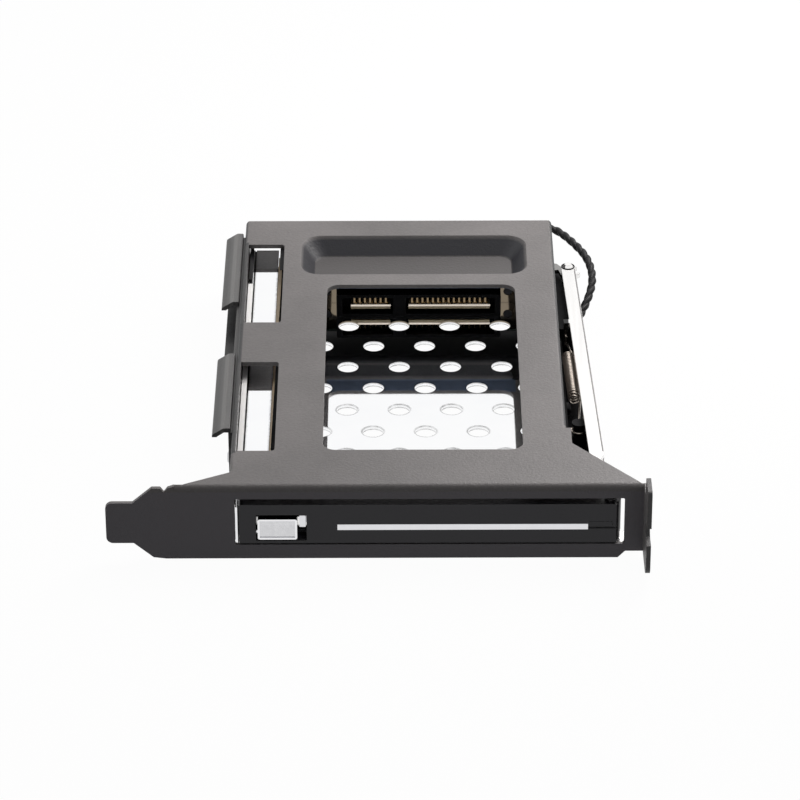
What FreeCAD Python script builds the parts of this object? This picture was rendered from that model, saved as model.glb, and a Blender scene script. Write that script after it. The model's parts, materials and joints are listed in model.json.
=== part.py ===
# Tray-less hot swap drive cage for one 2.5 inch drive, built on a full height expansion bracket.
# Everything is drawn in bracket coordinates: x runs from the tongue's tip along the bracket, y runs
# back from the bracket's front face, and z runs up from its lower edge. Each sub-part's Placement
# then moves it to the part's own origin, which is the middle of the footprint, at floor level.
import FreeCAD, Part
import Sketcher
import math
import os

Vector = FreeCAD.Vector

sizes = {
    # bracket face, lying on its long edge
    "bracketLength": 119.4, "faceHeight": 18.5, "sheet": 1.0, "foldRound": 1.4, "edgeRound": 0.8,
    "tongueHeight": 10.19, "tongueLow": 4.05, "tongueLength": 6.0, "tongueRound": 1.5,
    "taperEnd": 10.3, "taperTop": 18.0, "notchAt": 13.0, "notchDepth": 1.1, "notchHalf": 0.8,
    "foldStart": 15.2, "lowerStep": 13.1, "bevelStart": 112.9, "bevelEnd": 114.5, "bevelRise": 1.67,
    # screw flange at the bracket's end
    "flangeReach": 11.43, "flangeTop": 23.3, "flangeRelief": 4.3, "flangeRound": 3.0,
    "screwSlotWidth": 4.42, "screwSlotDepth": 5.2, "screwSlotHeight": 12.05,
    # opening for the door
    "openLeft": 28.4, "openRight": 114.2, "openLow": 3.5, "openAbove": 3.3, "openRound": 0.4,
    # top plate with its side walls
    "plateLeft": 27.2, "plateRight": 102.2, "plateDepth": 127.3, "flareDepth": 6.1, "wallFront": 6.5,
    "shoulderDepth": 18.5, "shoulderRight": 103.2, "shoulderBack": 25.3, "flareEnd": 118.7,
    "plateCorner": 0.6, "wallCorner": 2.0,
    "windowLeft": 47.6, "windowRight": 92.3, "windowFront": 15.8, "windowBack": 93.8, "windowRound": 3.0,
    "sideCutRight": 36.9, "sideCutRound": 0.8,
    "frontCutFront": 15.5, "frontCutBack": 56.0, "rearCutFront": 75.2, "rearCutBack": 114.7,
    "scoopLeft": 40.9, "scoopRight": 95.6, "scoopFront": 99.2, "scoopBack": 119.4, "scoopDepth": 4.0,
    "scoopSlope": 3.6, "scoopRound": 5.0, "scoopT": 0.6,
    # drive tray
    "trayFloor": 3.5, "trayDrop": 3.8, "trayFront": 5.6, "trayBack": 118.0, "trayBend": 1.6,
    "flangeBend": 1.15,
    "trayFlange": 7.2, "wingBack": 119.0, "seamLeft": 29.65, "seamRight": 29.95, "seamDepth": 0.3,
    "rearTabFront": 112.6, "rearTabTop": 10.8, "rearTabLeft": 44.5, "rearTabRight": 98.0,
    "holeRound": 2.5, "holePitch": 12.2, "rowPitch": 10.2, "firstRow": 100.8,
    # connector for the drive
    "connectorLeft": 49.5, "connectorRight": 89.4, "connectorFront": 105.6, "connectorTop": 9.4,
    "connectorWall": 1.4, "contactPitch": 1.27, "contactWidth": 0.75, "tongueBarZ": 5.1,
    "tongueBarT": 1.2, "cavityLow": 4.2, "cavityTop": 8.6,
    "signalLeft": 53.0, "powerLeft": 67.0, "contactSide": 0.65, "barFront": 106.6, "barBack": 109.4,
    "contactT": 0.25, "contactSet": 0.8, "cavitySide": 0.7,
    # rear board and what is on it
    "boardT": 1.6, "boardGap": 2.0, "boardLow": 3.8, "boardInset": 1.0, "rearPlugLeft": 51.0,
    "rearPlugRight": 88.5, "rearPlugDepth": 7.4, "rearPlugTop": 10.6, "rearPlugLow": 4.4, "plugWall": 1.0,
    "rearSignalLeft": 76.0, "rearPowerLeft": 54.0, "rearBarZ": 6.9, "rearBarReach": 5.4, 
    "headerLeft": 93.8, "headerRight": 98.0, "headerLow": 6.6, "headerTop": 11.0, "headerDepth": 3.6,
    "headerWall": 0.6, "plugBack": 5.2, "boardScrewLeft": 47.0, "boardScrewRight": 91.3,
    "boardScrewHeight": 6.6, "boardScrewRound": 1.0, "boardHeadRound": 1.9, "boardHeadT": 1.2,
    "chipT": 0.8, "chipLeft": 54.4, "chipPitch": 9.0, "chipWidth": 1.6, "chipDrop": 1.2, "chipHeight": 1.0,
    # rail with curled hooks on the left wall
    "railT": 1.0, "railReach": 4.7, "railLow": 4.0, "railFront": 26.5, "railBack": 121.8,
    "hookFrontEnd": 61.2, "hookRearStart": 86.5, "hookT": 1.1, "hookDrop": 0.6, "hookSlope": 1.7,
    "hookLip": 0.6, "hookRidge": 2.7, "hookSide": 0.5, "channelReach": 3.7, "channelLow": 9.0,
    "channelFront": 50.0, "channelBack": 112.0,
    "railRivetFront": 33.0, "railRivetRear": 108.0, "railRivetHeight": 6.6, "railRivetHead": 1.8,
    "bufferFront": 102.0, "bufferBack": 118.5, "bufferSet": 0.35, "bufferWidth": 0.8, "bufferT": 1.0,
    # door and its hinge
    "doorLeft": 29.3, "doorRight": 112.5, "doorFront": 0.2, "doorBack": 5.0, "doorLow": 3.75,
    "doorGap": 1.6, "doorWall": 1.2, "doorSkin": 1.6, "linerT": 0.8, "doorRound": 0.4, "doorSolid": 106.8,
    "hingeX": 111.2, "hingeY": 3.0, "pinRound": 1.0, "runningGap": 0.05, "knuckleRound": 2.3,
    "earT": 1.0, "earLow": 2.25, "earGap": 1.2, "earInner": 1.8, "earOuter": 6.8, "earBack": 5.6,
    "earFoot": 3.0, "pinHeadRound": 1.7, "pinHeadT": 0.5, "spacerRound": 1.35,
    "stripLeft": 51.0, "stripRight": 106.2, "stripHeight": 7.9, "stripWidth": 1.4, "stripT": 0.9,
    "stripProud": 0.1, "grooveWidth": 0.5, "grooveDepth": 0.35, "grooveHeight": 7.6,
    # button, latch and lock in the door
    "cellLeft": 33.0, "cellRight": 44.2, "cellLow": 4.4, "cellTop": 11.0,
    "buttonLeft": 33.4, "buttonRight": 42.1, "buttonLow": 4.65, "buttonTop": 9.8, "buttonFront": 0.3,
    "buttonT": 2.0, "buttonRim": 0.45, "capSink": 0.2, "capDepth": 0.9, "buttonRound": 0.5,
    "buttonTravel": 1.2, "capBevel": 0.45, "capGap": 0.3, "buttonLug": 1.0, "lugT": 0.4, "lugLow": 5.2,
    "lugTop": 6.0,
    "boltLow": 6.3, "boltTop": 8.6, "boltTip": 27.6, "boltFront": 1.3, "boltT": 1.5, "boltBevel": 0.9,
    "boltGap": 0.2, "boltStepLeft": 30.9, "boltStepRight": 31.6, "armFront": 3.55, "armT": 0.6,
    "armRight": 46.4, "armTab": 0.8, "armTabFront": 2.2, "boltWindowLeft": 34.2, "boltWindowRight": 38.5,
    "boltWindowRim": 0.6, "wedgeGap": 0.2, "wedgeLeft": 36.5, "lockLeft": 42.6, "lockRight": 44.0,
    "lockLow": 7.8, "lockTop": 10.7, "lockFront": 0.5, "lockBack": 2.7, "lockFoot": 1.3, "lockFootT": 0.8,
    "springRib": 50.0, "springRibT": 0.8, "buttonSpringRound": 0.65, "latchSpringRound": 0.8,
    "springBore": 0.4, "springHeight": 5.5, "springLeft": 35.4, "springRight": 40.4,
    # ejector: crank on the door, pull link and rear lever
    "crankThrow": 6.0, "crankPinRound": 0.8, "crankDrop": 2.5, "crankT": 2.0, "crankHalf": 1.8,
    "slotGap": 0.35, "linkDrop": 2.6, "linkT": 1.0, "linkHalf": 1.65, "linkLip": 3.0, "linkLean": 2.0,
    "rivetX": 105.7, "rivetY": 109.8, "rivetRound": 1.0, "rivetHead": 1.35, "rivetHeadT": 0.6,
    "linkJogStart": 90.0, "linkJogEnd": 94.5, "linkHeadWall": 1.1, "lipStart": 4.2,
    "leverT": 1.0, "leverHalf": 2.3, "leverGap": 0.3, "forkGap": 0.45, "forkStart": 8.55, "forkTip": 12.6,
    "leverX": 96.0, "leverY": 107.6, "leverPostRound": 1.2, "postShoulder": 1.6, "fingerLow": 4.8,
    "fingerAt": 1.2, "fingerWidth": 2.2, "fingerT": 0.8, "postHeadRound": 1.9, "postHeadT": 0.4,
    "leverSlotFront": 99.0, "leverSlotBack": 115.2, "neckInner": 5.6, "neckOuter": 7.9,
    "neckLow": 1.2, "neckHigh": 4.6, "slotBelow": 0.4, "slotAbove": 0.3, "leverSlotRound": 0.6,
    # plastic guide on the right wall, with the spring's post
    "guideWall": 1.2, "guideFront": 25.5, "guideBack": 115.0, "guideLow": 4.4, "guideTop": 9.0,
    "shelfT": 1.2, "grooveGap": 0.3, "grooveSide": 0.35, "shelfBack": 94.0, "shelfSide": 0.55,
    "frontRibBack": 46.0, "rearBlockFront": 84.6, "rearBlockLow": 6.0, "blockGap": 0.4,
    "guideScrewHeight": 7.2, "guideScrewFront": 54.0, "guideScrewRear": 76.0, "guideScrewRound": 1.0,
    "guideHeadRound": 1.4, "guideHeadT": 1.0, "driverSlot": 0.5, "screwGap": 0.1, "screwEnd": 100.0,
    "springU": -2.55, "springPostV": -71.8, "springPostRound": 1.3, "springPostHead": 1.7,
    "postDrop": 1.3, "springDrop": 3.3, "springTabV": -27.8, "springTabHalf": 0.95, "springTabT": 0.9,
    "springTabHole": 0.65, "springRound": 1.5, "coilFront": -54.9, "coilBack": -37.0, "coilTaper": 0.8,
    "springWire": 0.35, "frontEye": 1.75, "eyeT": 0.9, "rearEye": 1.4,
    # indicator board and the cable
    "ledBoardT": 1.2, "ledBoardFront": 9.5, "ledBoardBack": 23.0, "ledBoardLow": 1.8, "ledBoardTop": 8.6,
    "ledLength": 2.5, "ledZ": 6.6, "ledRound": 0.9, "ledSocketFront": 15.0, "ledSocketBack": 20.0,
    "ledSocketLow": 2.05, "ledSocketTop": 4.75, "ledSocketT": 2.7, "cableRound": 0.95,
    "clipHalf": 1.9, "clipLength": 3.0, "clipBore": 1.3, "clipLow": 0.9, "frontClip": 41.6, "rearClip": 88.6,
    "clipX": 106.1, "clipZ": 2.7,
}

doc = FreeCAD.newDocument("drive_cage")
sheet = doc.addObject("Spreadsheet::Sheet", "Dims")
for row, (name, number) in enumerate(sizes.items(), start=1):
    sheet.set("A%d" % row, name)
    sheet.set("B%d" % row, str(number))
    sheet.setAlias("B%d" % row, name)
doc.recompute()


class Size:
    # a number that keeps the spreadsheet expression it comes from
    def __init__(self, number, words):
        self.number = number
        self.words = words

    def joined(self, sign, other, number):
        return Size(number, "(%s %s %s)" % (self.words, sign, other.words))

    def __add__(self, other):
        other = sized(other)
        return self.joined("+", other, self.number + other.number)

    def __radd__(self, other):
        return sized(other) + self

    def __sub__(self, other):
        other = sized(other)
        return self.joined("-", other, self.number - other.number)

    def __rsub__(self, other):
        return sized(other) - self

    def __mul__(self, other):
        other = sized(other)
        return self.joined("*", other, self.number * other.number)

    def __rmul__(self, other):
        return sized(other) * self

    def __truediv__(self, other):
        other = sized(other)
        return self.joined("/", other, self.number / other.number)

    def __neg__(self):
        return sized(0) - self

    def __float__(self):
        return self.number


def sized(value):
    return value if isinstance(value, Size) else Size(float(value), "(%r)" % float(value))


class Dimensions:
    pass


d = Dimensions()
for name in sizes:
    setattr(d, name, Size(float(sheet.get(name)), "Dims." + name))

# places that follow from the sizes above
half = 0.5
originX = d.bracketLength * half
originY = (d.plateDepth - d.flangeReach) * half
plateUnder = d.faceHeight - d.sheet
trayUnder = d.trayFloor - d.sheet
trayLeft = d.plateLeft + d.sheet
trayRight = d.plateRight - d.sheet
bayCentre = (trayLeft + trayRight) * half
boardFront = d.rearTabFront + d.sheet
boardBack = boardFront + d.boardT
boardTop = d.faceHeight - d.scoopDepth - d.scoopT - d.boardGap
openHigh = d.faceHeight - d.openAbove
doorTop = openHigh - d.doorGap
earTop = plateUnder - d.earGap
earLeft = d.hingeX - d.earInner
earRight = d.hingeX + d.earOuter
hookTop = d.faceHeight - d.hookDrop
trayTop = d.faceHeight - d.trayDrop
linkTop = plateUnder - d.linkDrop
linkUnder = linkTop - d.linkT
crankLow = linkUnder - d.crankDrop
springZ = linkUnder - d.springDrop
springPostTop = linkUnder - d.postDrop
lipBottom = linkUnder - d.linkLip
leverTop = linkUnder - d.leverGap
leverUnder = leverTop - d.leverT
rivetFoot = leverUnder - d.leverGap - d.rivetHeadT
rearBlockTop = rivetFoot - d.blockGap
leverAngle = math.degrees(math.atan2(float(d.rivetY - d.leverY), float(d.rivetX - d.leverX)))
diagonal = math.sqrt(half)
crankX = d.hingeX - d.crankThrow * diagonal
crankY = d.hingeY + d.crankThrow * diagonal
armBack = d.armFront + d.armT
linerFront = d.doorBack - d.linerT
guideFace = d.plateRight + d.guideWall
guideHoles = [(y, d.guideScrewHeight, d.guideScrewRound + d.screwGap)
              for y in (d.guideScrewFront, d.guideScrewRear)]
boardHoles = [(x, d.boardScrewHeight, d.boardScrewRound + d.screwGap)
              for x in (d.boardScrewLeft, d.boardScrewRight)]
railHoles = [(y, d.railRivetHeight, d.rivetRound) for y in (d.railRivetFront, d.railRivetRear)]


def bind(thing, path, value):
    if isinstance(value, Size):
        thing.setExpression(path, value.words)


def move(thing, x, y, z, rotation=None):
    place = FreeCAD.Placement(Vector(float(x), float(y), float(z)), rotation or FreeCAD.Rotation())
    thing.Placement = place
    for path, value in (("x", x), ("y", y), ("z", z)):
        bind(thing, "Placement.Base." + path, value)


def box(x, y, z):
    solid = doc.addObject("Part::Box", "block")
    for size, (low, high) in zip(("Length", "Width", "Height"), (x, y, z)):
        span = sized(high) - low
        setattr(solid, size, float(span))
        bind(solid, size, span)
    move(solid, x[0], y[0], z[0])
    return solid


turns = {
    "x": FreeCAD.Rotation(Vector(0, 1, 0), 90),
    "y": FreeCAD.Rotation(Vector(1, 0, 0), -90),
    "z": FreeCAD.Rotation(),
}


def rod(axis, x, y, z, radius, length, top=None):
    # a cylinder, or a cone where the far end has another radius, from its low end along one axis
    kind = "Part::Cylinder" if top is None else "Part::Cone"
    solid = doc.addObject(kind, "rod")
    radii = {"Radius": radius} if top is None else {"Radius1": radius, "Radius2": top}
    for size, value in dict(radii, Height=length).items():
        setattr(solid, size, float(value))
        bind(solid, size, sized(value))
    move(solid, x, y, z, turns[axis])
    return solid


def fuse(*solids):
    joined = doc.addObject("Part::MultiFuse", "joined")
    joined.Shapes = list(solids)
    joined.Refine = True
    return joined


def cut(base, *tools):
    left = doc.addObject("Part::Cut", "left")
    left.Base = base
    left.Tool = tools[0] if len(tools) == 1 else fuse(*tools)
    left.Refine = True
    return left


nodes = []


def place(thing, frame=None):
    # moves a finished sub-part from bracket coordinates, or from the link's own, to the part's origin
    x, y = (-originX, -originY) if frame is None else (frame[0] - originX, frame[1] - originY)
    move(thing, x, y, 0)
    if frame is not None:
        thing.Placement.Rotation = FreeCAD.Rotation(Vector(0, 0, 1), float(frame[2]))
        bind(thing, "Placement.Rotation.Angle", frame[2] * sized(1))
    nodes.append(thing)


def node(label, *solids, frame=None):
    # one sub-part out of primitives and booleans; separate solids stay separate
    group = doc.addObject("Part::Compound", label)
    group.Label = label
    group.Links = list(solids)
    place(group, frame)
    return group


linkFrame = (d.rivetX, d.rivetY, d.linkLean)


def planeOf(body, role):
    return [f for f in body.Origin.OriginFeatures if f.Role == role][0]


def unit(a, b):
    run = math.hypot(b[0] - a[0], b[1] - a[1])
    return ((b[0] - a[0]) / run, (b[1] - a[1]) / run)


def pin(sketch, geometry, end, x, y):
    # ties one point of a sketch to two sizes
    for kind, value in (("DistanceX", x), ("DistanceY", y)):
        index = sketch.addConstraint(Sketcher.Constraint(kind, geometry, end, float(value)))
        bind(sketch, "Constraints[%d]" % index, value)


def outline(sketch, corners):
    # a closed outline of straight edges; a corner is (x, y) or (x, y, radius)
    count = len(corners)
    at = [(float(c[0]), float(c[1])) for c in corners]
    ends = []
    for i in range(count):
        if len(corners[i]) == 2:
            ends.append((at[i], at[i], None))
            continue
        radius = float(corners[i][2])
        back = unit(at[i], at[i - 1])
        ahead = unit(at[i], at[(i + 1) % count])
        between = math.acos(back[0] * ahead[0] + back[1] * ahead[1])
        reach = radius / math.tan(between / 2)
        first = (at[i][0] + back[0] * reach, at[i][1] + back[1] * reach)
        last = (at[i][0] + ahead[0] * reach, at[i][1] + ahead[1] * reach)
        middle = unit((0, 0), (back[0] + ahead[0], back[1] + ahead[1]))
        far = radius / math.sin(between / 2)
        centre = (at[i][0] + middle[0] * far, at[i][1] + middle[1] * far)
        left = back[0] * ahead[1] - back[1] * ahead[0] < 0
        ends.append((first, last, (centre, radius, left)))
    lines = []
    for i in range(count):
        start, end = ends[i][1], ends[(i + 1) % count][0]
        line = Part.LineSegment(Vector(start[0], start[1], 0), Vector(end[0], end[1], 0))
        lines.append(sketch.addGeometry(line, False))
    for i in range(count):
        before, after = lines[i - 1], lines[i]
        x, y = sized(corners[i][0]), sized(corners[i][1])
        first, last, arc = ends[i]
        if arc is None:
            sketch.addConstraint(Sketcher.Constraint("Coincident", before, 2, after, 1))
            pin(sketch, after, 1, x, y)
            continue
        centre, radius, left = arc
        run = (first, last) if left else (last, first)
        angles = [math.atan2(p[1] - centre[1], p[0] - centre[0]) for p in run]
        circle = Part.Circle(Vector(centre[0], centre[1], 0), Vector(0, 0, 1), radius)
        bend = sketch.addGeometry(Part.ArcOfCircle(circle, angles[0], angles[1]), False)
        near, far = (1, 2) if left else (2, 1)
        corner = sketch.addGeometry(Part.Point(Vector(at[i][0], at[i][1], 0)), True)
        pin(sketch, corner, 1, x, y)
        sketch.addConstraint(Sketcher.Constraint("PointOnObject", corner, 1, before))
        sketch.addConstraint(Sketcher.Constraint("PointOnObject", corner, 1, after))
        sketch.addConstraint(Sketcher.Constraint("Tangent", before, 2, bend, near))
        sketch.addConstraint(Sketcher.Constraint("Tangent", bend, far, after, 1))
        index = sketch.addConstraint(Sketcher.Constraint("Radius", bend, radius))
        bind(sketch, "Constraints[%d]" % index, sized(corners[i][2]))


def rounds(sketch, circles):
    for x, y, radius in circles:
        circle = Part.Circle(Vector(float(x), float(y), 0), Vector(0, 0, 1), float(radius))
        ring = sketch.addGeometry(circle, False)
        pin(sketch, ring, 3, sized(x), sized(y))
        index = sketch.addConstraint(Sketcher.Constraint("Radius", ring, float(radius)))
        bind(sketch, "Constraints[%d]" % index, sized(radius))


def rectangle(x, y, radius=None):
    corners = [(x[0], y[0]), (x[1], y[0]), (x[1], y[1]), (x[0], y[1])]
    return corners if radius is None else [(a, b, radius) for a, b in corners]


class Sheetwork:
    # a PartDesign body that is built up from pads and pockets between two planes along one axis
    roles = {"z": "XY_Plane", "y": "XZ_Plane", "x": "YZ_Plane"}

    def __init__(self, label, frame=None):
        self.body = doc.addObject("PartDesign::Body", label)
        self.body.Label = label
        place(self.body, frame)

    def sketch(self, axis, level, loops, circles=()):
        sketch = self.body.newObject("Sketcher::SketchObject", "sketch")
        sketch.AttachmentSupport = [(planeOf(self.body, self.roles[axis]), "")]
        sketch.MapMode = "FlatFace"
        offset = -sized(level) if axis == "y" else sized(level)
        sketch.AttachmentOffset = FreeCAD.Placement(Vector(0, 0, float(offset)), FreeCAD.Rotation())
        bind(sketch, "AttachmentOffset.Base.z", offset)
        for loop in loops:
            outline(sketch, loop)
        rounds(sketch, circles)
        return sketch

    def feature(self, kind, axis, level, span, loops, circles):
        made = self.body.newObject(kind, kind.split("::")[1])
        made.Profile = self.sketch(axis, level, loops, circles)
        made.Length = float(span)
        bind(made, "Length", span)
        made.Refine = True
        self.body.Tip = made
        return made

    def pad(self, axis, low, high, *loops, circles=()):
        level = high if axis == "y" else low
        return self.feature("PartDesign::Pad", axis, level, sized(high) - low, loops, circles)

    def pocket(self, axis, low, high, *loops, circles=()):
        doc.recompute()
        before = self.body.Shape.Volume
        level = low if axis == "y" else high
        made = self.feature("PartDesign::Pocket", axis, level, sized(high) - low, loops, circles)
        doc.recompute()
        if self.body.Shape.Volume > before - 1e-6:
            raise RuntimeError("%s: a pocket cuts nothing" % self.body.Label)
        return made

    def repeat(self, feature, role, length, count):
        # copies one feature in a row along one of the body's own axes
        row = self.body.newObject("PartDesign::LinearPattern", "row")
        row.Originals = [feature]
        row.Direction = (planeOf(self.body, role), [""])
        row.Length = float(length)
        bind(row, "Length", length)
        row.Occurrences = count
        self.body.Tip = row
        return row

    def loft(self, kind, levels):
        # a tapered block or hollow between two level outlines
        first, last = [self.sketch("z", level, [loop]) for level, loop in levels]
        made = self.body.newObject(kind, "loft")
        made.Profile = first
        made.Sections = [last]
        made.Ruled = True
        self.body.Tip = made
        return made

    def roll(self, axis, low, high, corner, inward, radius):
        # takes the sharp outside off a fold, whose corner is given with the way into the sheet
        (x, y), (right, up) = corner, inward
        reach = radius + 0.05
        waste = [
            (x - right, y + up * reach), (x, y + up * reach), (x, y, radius),
            (x + right * reach, y), (x + right * reach, y - up), (x - right, y - up),
        ]
        return self.pocket(axis, low, high, waste)


def makeBracketCover():
    # one bent sheet: bracket face, screw flange, top plate and both side walls
    cover = Sheetwork("bracket_cover")
    tongueTop = d.tongueLow + d.tongueHeight
    face = [
        (0, d.tongueLow, d.tongueRound), (d.tongueLength, d.tongueLow),
        (d.taperEnd, 0.35), (d.lowerStep, 0), (d.bevelStart, 0), (d.bevelEnd, d.bevelRise),
        (d.bracketLength, d.bevelRise), (d.bracketLength, d.faceHeight), (d.foldStart, d.faceHeight),
        (d.notchAt + d.notchHalf, d.taperTop), (d.notchAt, d.taperTop - d.notchDepth),
        (d.notchAt - d.notchHalf, d.taperTop), (d.taperEnd, d.taperTop),
        (d.tongueLength, tongueTop), (0, tongueTop, d.tongueRound),
    ]
    cover.pad("y", 0, d.sheet, face)
    plate = [
        (d.foldStart, 0), (d.flareEnd, 0), (d.shoulderRight, d.shoulderDepth),
        (d.shoulderRight, d.shoulderBack), (d.plateRight, d.shoulderBack),
        (d.plateRight, d.plateDepth - d.plateCorner), (d.plateRight - d.plateCorner, d.plateDepth),
        (d.plateLeft + d.plateCorner, d.plateDepth), (d.plateLeft, d.plateDepth - d.plateCorner),
        (d.plateLeft, d.flareDepth),
    ]
    cover.pad("z", plateUnder, d.faceHeight, plate)
    left = [
        (d.wallFront, 0, d.wallCorner), (d.plateDepth - d.plateCorner, 0, d.wallCorner),
        (d.plateDepth - d.plateCorner, d.faceHeight), (d.wallFront, d.faceHeight),
    ]
    cover.pad("x", d.plateLeft, trayLeft, left)
    right = [
        (d.shoulderBack, 0, d.wallCorner), (d.plateDepth - d.plateCorner, 0, d.wallCorner),
        (d.plateDepth - d.plateCorner, d.faceHeight), (d.shoulderBack, d.faceHeight),
    ]
    cover.pad("x", trayRight, d.plateRight, right)
    flange = [
        (-d.flangeReach, d.bevelRise, d.flangeRound), (d.sheet, d.bevelRise), (d.sheet, d.faceHeight),
        (-d.flangeRelief, d.faceHeight, 0.8), (-d.flangeRelief, d.flangeTop, 1.0),
        (-d.flangeReach, d.flangeTop, 1.0),
    ]
    cover.pad("x", d.bracketLength - d.sheet, d.bracketLength, flange)
    ridge = sized(d.faceHeight)
    cover.roll("x", d.foldStart, d.bracketLength - d.sheet, (sized(0), ridge), (1, -1), d.foldRound)
    cover.roll("y", d.wallFront, d.plateDepth, (d.plateLeft, ridge), (1, -1), d.edgeRound)
    cover.roll("y", d.shoulderBack, d.plateDepth, (d.plateRight, ridge), (-1, -1), d.edgeRound)
    door = rectangle((d.openLeft, d.openRight), (d.openLow, openHigh), d.openRound)
    cover.pocket("y", 0, d.sheet, door)
    window = rectangle((d.windowLeft, d.windowRight), (d.windowFront, d.windowBack), d.windowRound)
    cover.pocket("z", plateUnder, d.faceHeight, window)
    for front, back in ((d.frontCutFront, d.frontCutBack), (d.rearCutFront, d.rearCutBack)):
        side = [(trayLeft, front), (d.sideCutRight, front, d.sideCutRound),
                (d.sideCutRight, back, d.sideCutRound), (trayLeft, back)]
        cover.pocket("z", plateUnder, d.faceHeight, side)
    slotEnd = d.screwSlotDepth - d.flangeReach
    slot = [
        (-d.flangeReach - 1, d.screwSlotHeight - d.screwSlotWidth * half),
        (slotEnd, d.screwSlotHeight - d.screwSlotWidth * half, d.screwSlotWidth * 0.49),
        (slotEnd, d.screwSlotHeight + d.screwSlotWidth * half, d.screwSlotWidth * 0.49),
        (-d.flangeReach - 1, d.screwSlotHeight + d.screwSlotWidth * half),
    ]
    cover.pocket("x", d.bracketLength - d.sheet, d.bracketLength, slot)
    leverHeight = (leverUnder - d.slotBelow, leverTop + d.slotAbove)
    lever = rectangle((d.leverSlotFront, d.leverSlotBack), leverHeight, d.leverSlotRound)
    cover.pocket("x", trayRight, d.plateRight, lever)
    # drawn scoop: a tapered pan hangs below the plate, then its inside is taken out
    def scoop(grow, slope):
        inset = slope * d.scoopSlope - grow
        return rectangle(
            (d.scoopLeft + inset, d.scoopRight - inset),
            (d.scoopFront + inset, d.scoopBack - inset),
            d.scoopRound - inset * half,
        )
    floor = d.faceHeight - d.scoopDepth
    pan = ((plateUnder, scoop(d.scoopT, 0.0)), (floor - d.scoopT, scoop(d.scoopT, 1.0)))
    cover.loft("PartDesign::AdditiveLoft", pan)
    hollow = ((d.faceHeight, scoop(sized(0), 0.0)), (floor, scoop(sized(0), 1.0)))
    cover.loft("PartDesign::SubtractiveLoft", hollow)
    # screw holes on the right, rivet holes on the left
    cover.pocket("x", trayRight, d.plateRight, circles=guideHoles)
    cover.pocket("x", d.plateLeft, trayLeft, circles=railHoles)
    return cover


def makeTray():
    # polished tray: floor, side walls and flanges folded in over the drive
    tray = Sheetwork("drive_tray")
    t = d.sheet
    bend = d.trayBend
    fold = d.flangeBend
    section = [
        (trayLeft, trayUnder, bend), (trayRight, trayUnder, bend),
        (trayRight, trayTop, bend), (trayRight - d.trayFlange, trayTop),
        (trayRight - d.trayFlange, trayTop - t), (trayRight - t, trayTop - t, bend - t),
        (trayRight - t, d.trayFloor, bend - t), (trayLeft + t, d.trayFloor, bend - t),
        (trayLeft + t, trayTop - t, fold - t), (trayLeft + d.trayFlange, trayTop - t),
        (trayLeft + d.trayFlange, trayTop), (trayLeft, trayTop, fold),
    ]
    tray.pad("y", d.trayFront, d.rearTabFront, section)
    # the left wall and its flange run on past the rear tabs
    wing = [
        (trayLeft, d.rearTabTop), (trayLeft + t, d.rearTabTop), (trayLeft + t, trayTop - t, fold - t),
        (trayLeft + d.trayFlange, trayTop - t), (trayLeft + d.trayFlange, trayTop), (trayLeft, trayTop, fold),
    ]
    tray.pad("y", d.rearTabFront - t, d.wingBack, wing)
    lip = rectangle((trayLeft + bend, trayRight - bend), (d.sheet, d.trayFront + 1))
    tray.pad("z", trayUnder, d.trayFloor, lip)
    shelf = rectangle((d.rearTabLeft, d.rearTabRight), (d.rearTabFront - 1, d.trayBack))
    tray.pad("z", trayUnder, d.trayFloor, shelf)
    tabs = rectangle((d.rearTabLeft, d.rearTabRight), (trayUnder, d.rearTabTop))
    tray.pad("y", d.rearTabFront, boardFront, tabs)
    gap = rectangle((d.connectorLeft - 0.1, d.connectorRight + 0.1), (d.trayFloor, d.rearTabTop + 1))
    tray.pocket("y", d.rearTabFront, boardFront, gap)
    leverHeight = (leverUnder - d.slotBelow, leverTop + d.slotAbove)
    lever = rectangle((d.leverSlotFront, d.rearTabFront + 1), leverHeight)
    tray.pocket("x", trayRight - bend, trayRight, lever)
    # staggered cooling holes in the floor
    even = [(bayCentre + d.holePitch * k, d.firstRow, d.holeRound) for k in range(-2, 3)]
    odd = [(bayCentre + d.holePitch * (k + half), d.firstRow - d.rowPitch, d.holeRound) for k in range(-3, 3)]
    for row, count in ((even, 5), (odd, 4)):
        holes = tray.pocket("z", trayUnder, d.trayFloor, circles=row)
        holes = tray.repeat(holes, "Y_Axis", d.rowPitch * (2 * (count - 1)), count)
        holes.Reversed = True
    doc.recompute()
    tray.pocket("y", d.rearTabFront, boardFront, circles=boardHoles)
    tray.pocket("x", trayRight - t, trayRight, circles=guideHoles)
    tray.pocket("x", trayLeft, trayLeft + t, circles=railHoles)
    tray.pocket("z", trayUnder, d.trayFloor, circles=[(d.leverX, d.leverY, d.leverPostRound)])
    seam = rectangle((d.seamLeft, d.seamRight), (d.trayFront - 1, d.wingBack + 1))
    tray.pocket("z", trayTop - d.seamDepth, trayTop, seam)
    # the right flange stops short of the ejector lever
    clear = rectangle((trayRight - d.trayFlange - 1, trayRight - t), (d.leverSlotFront, d.rearTabFront + 1))
    tray.pocket("z", trayTop - t - 0.1, trayTop, clear)
    return tray


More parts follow.
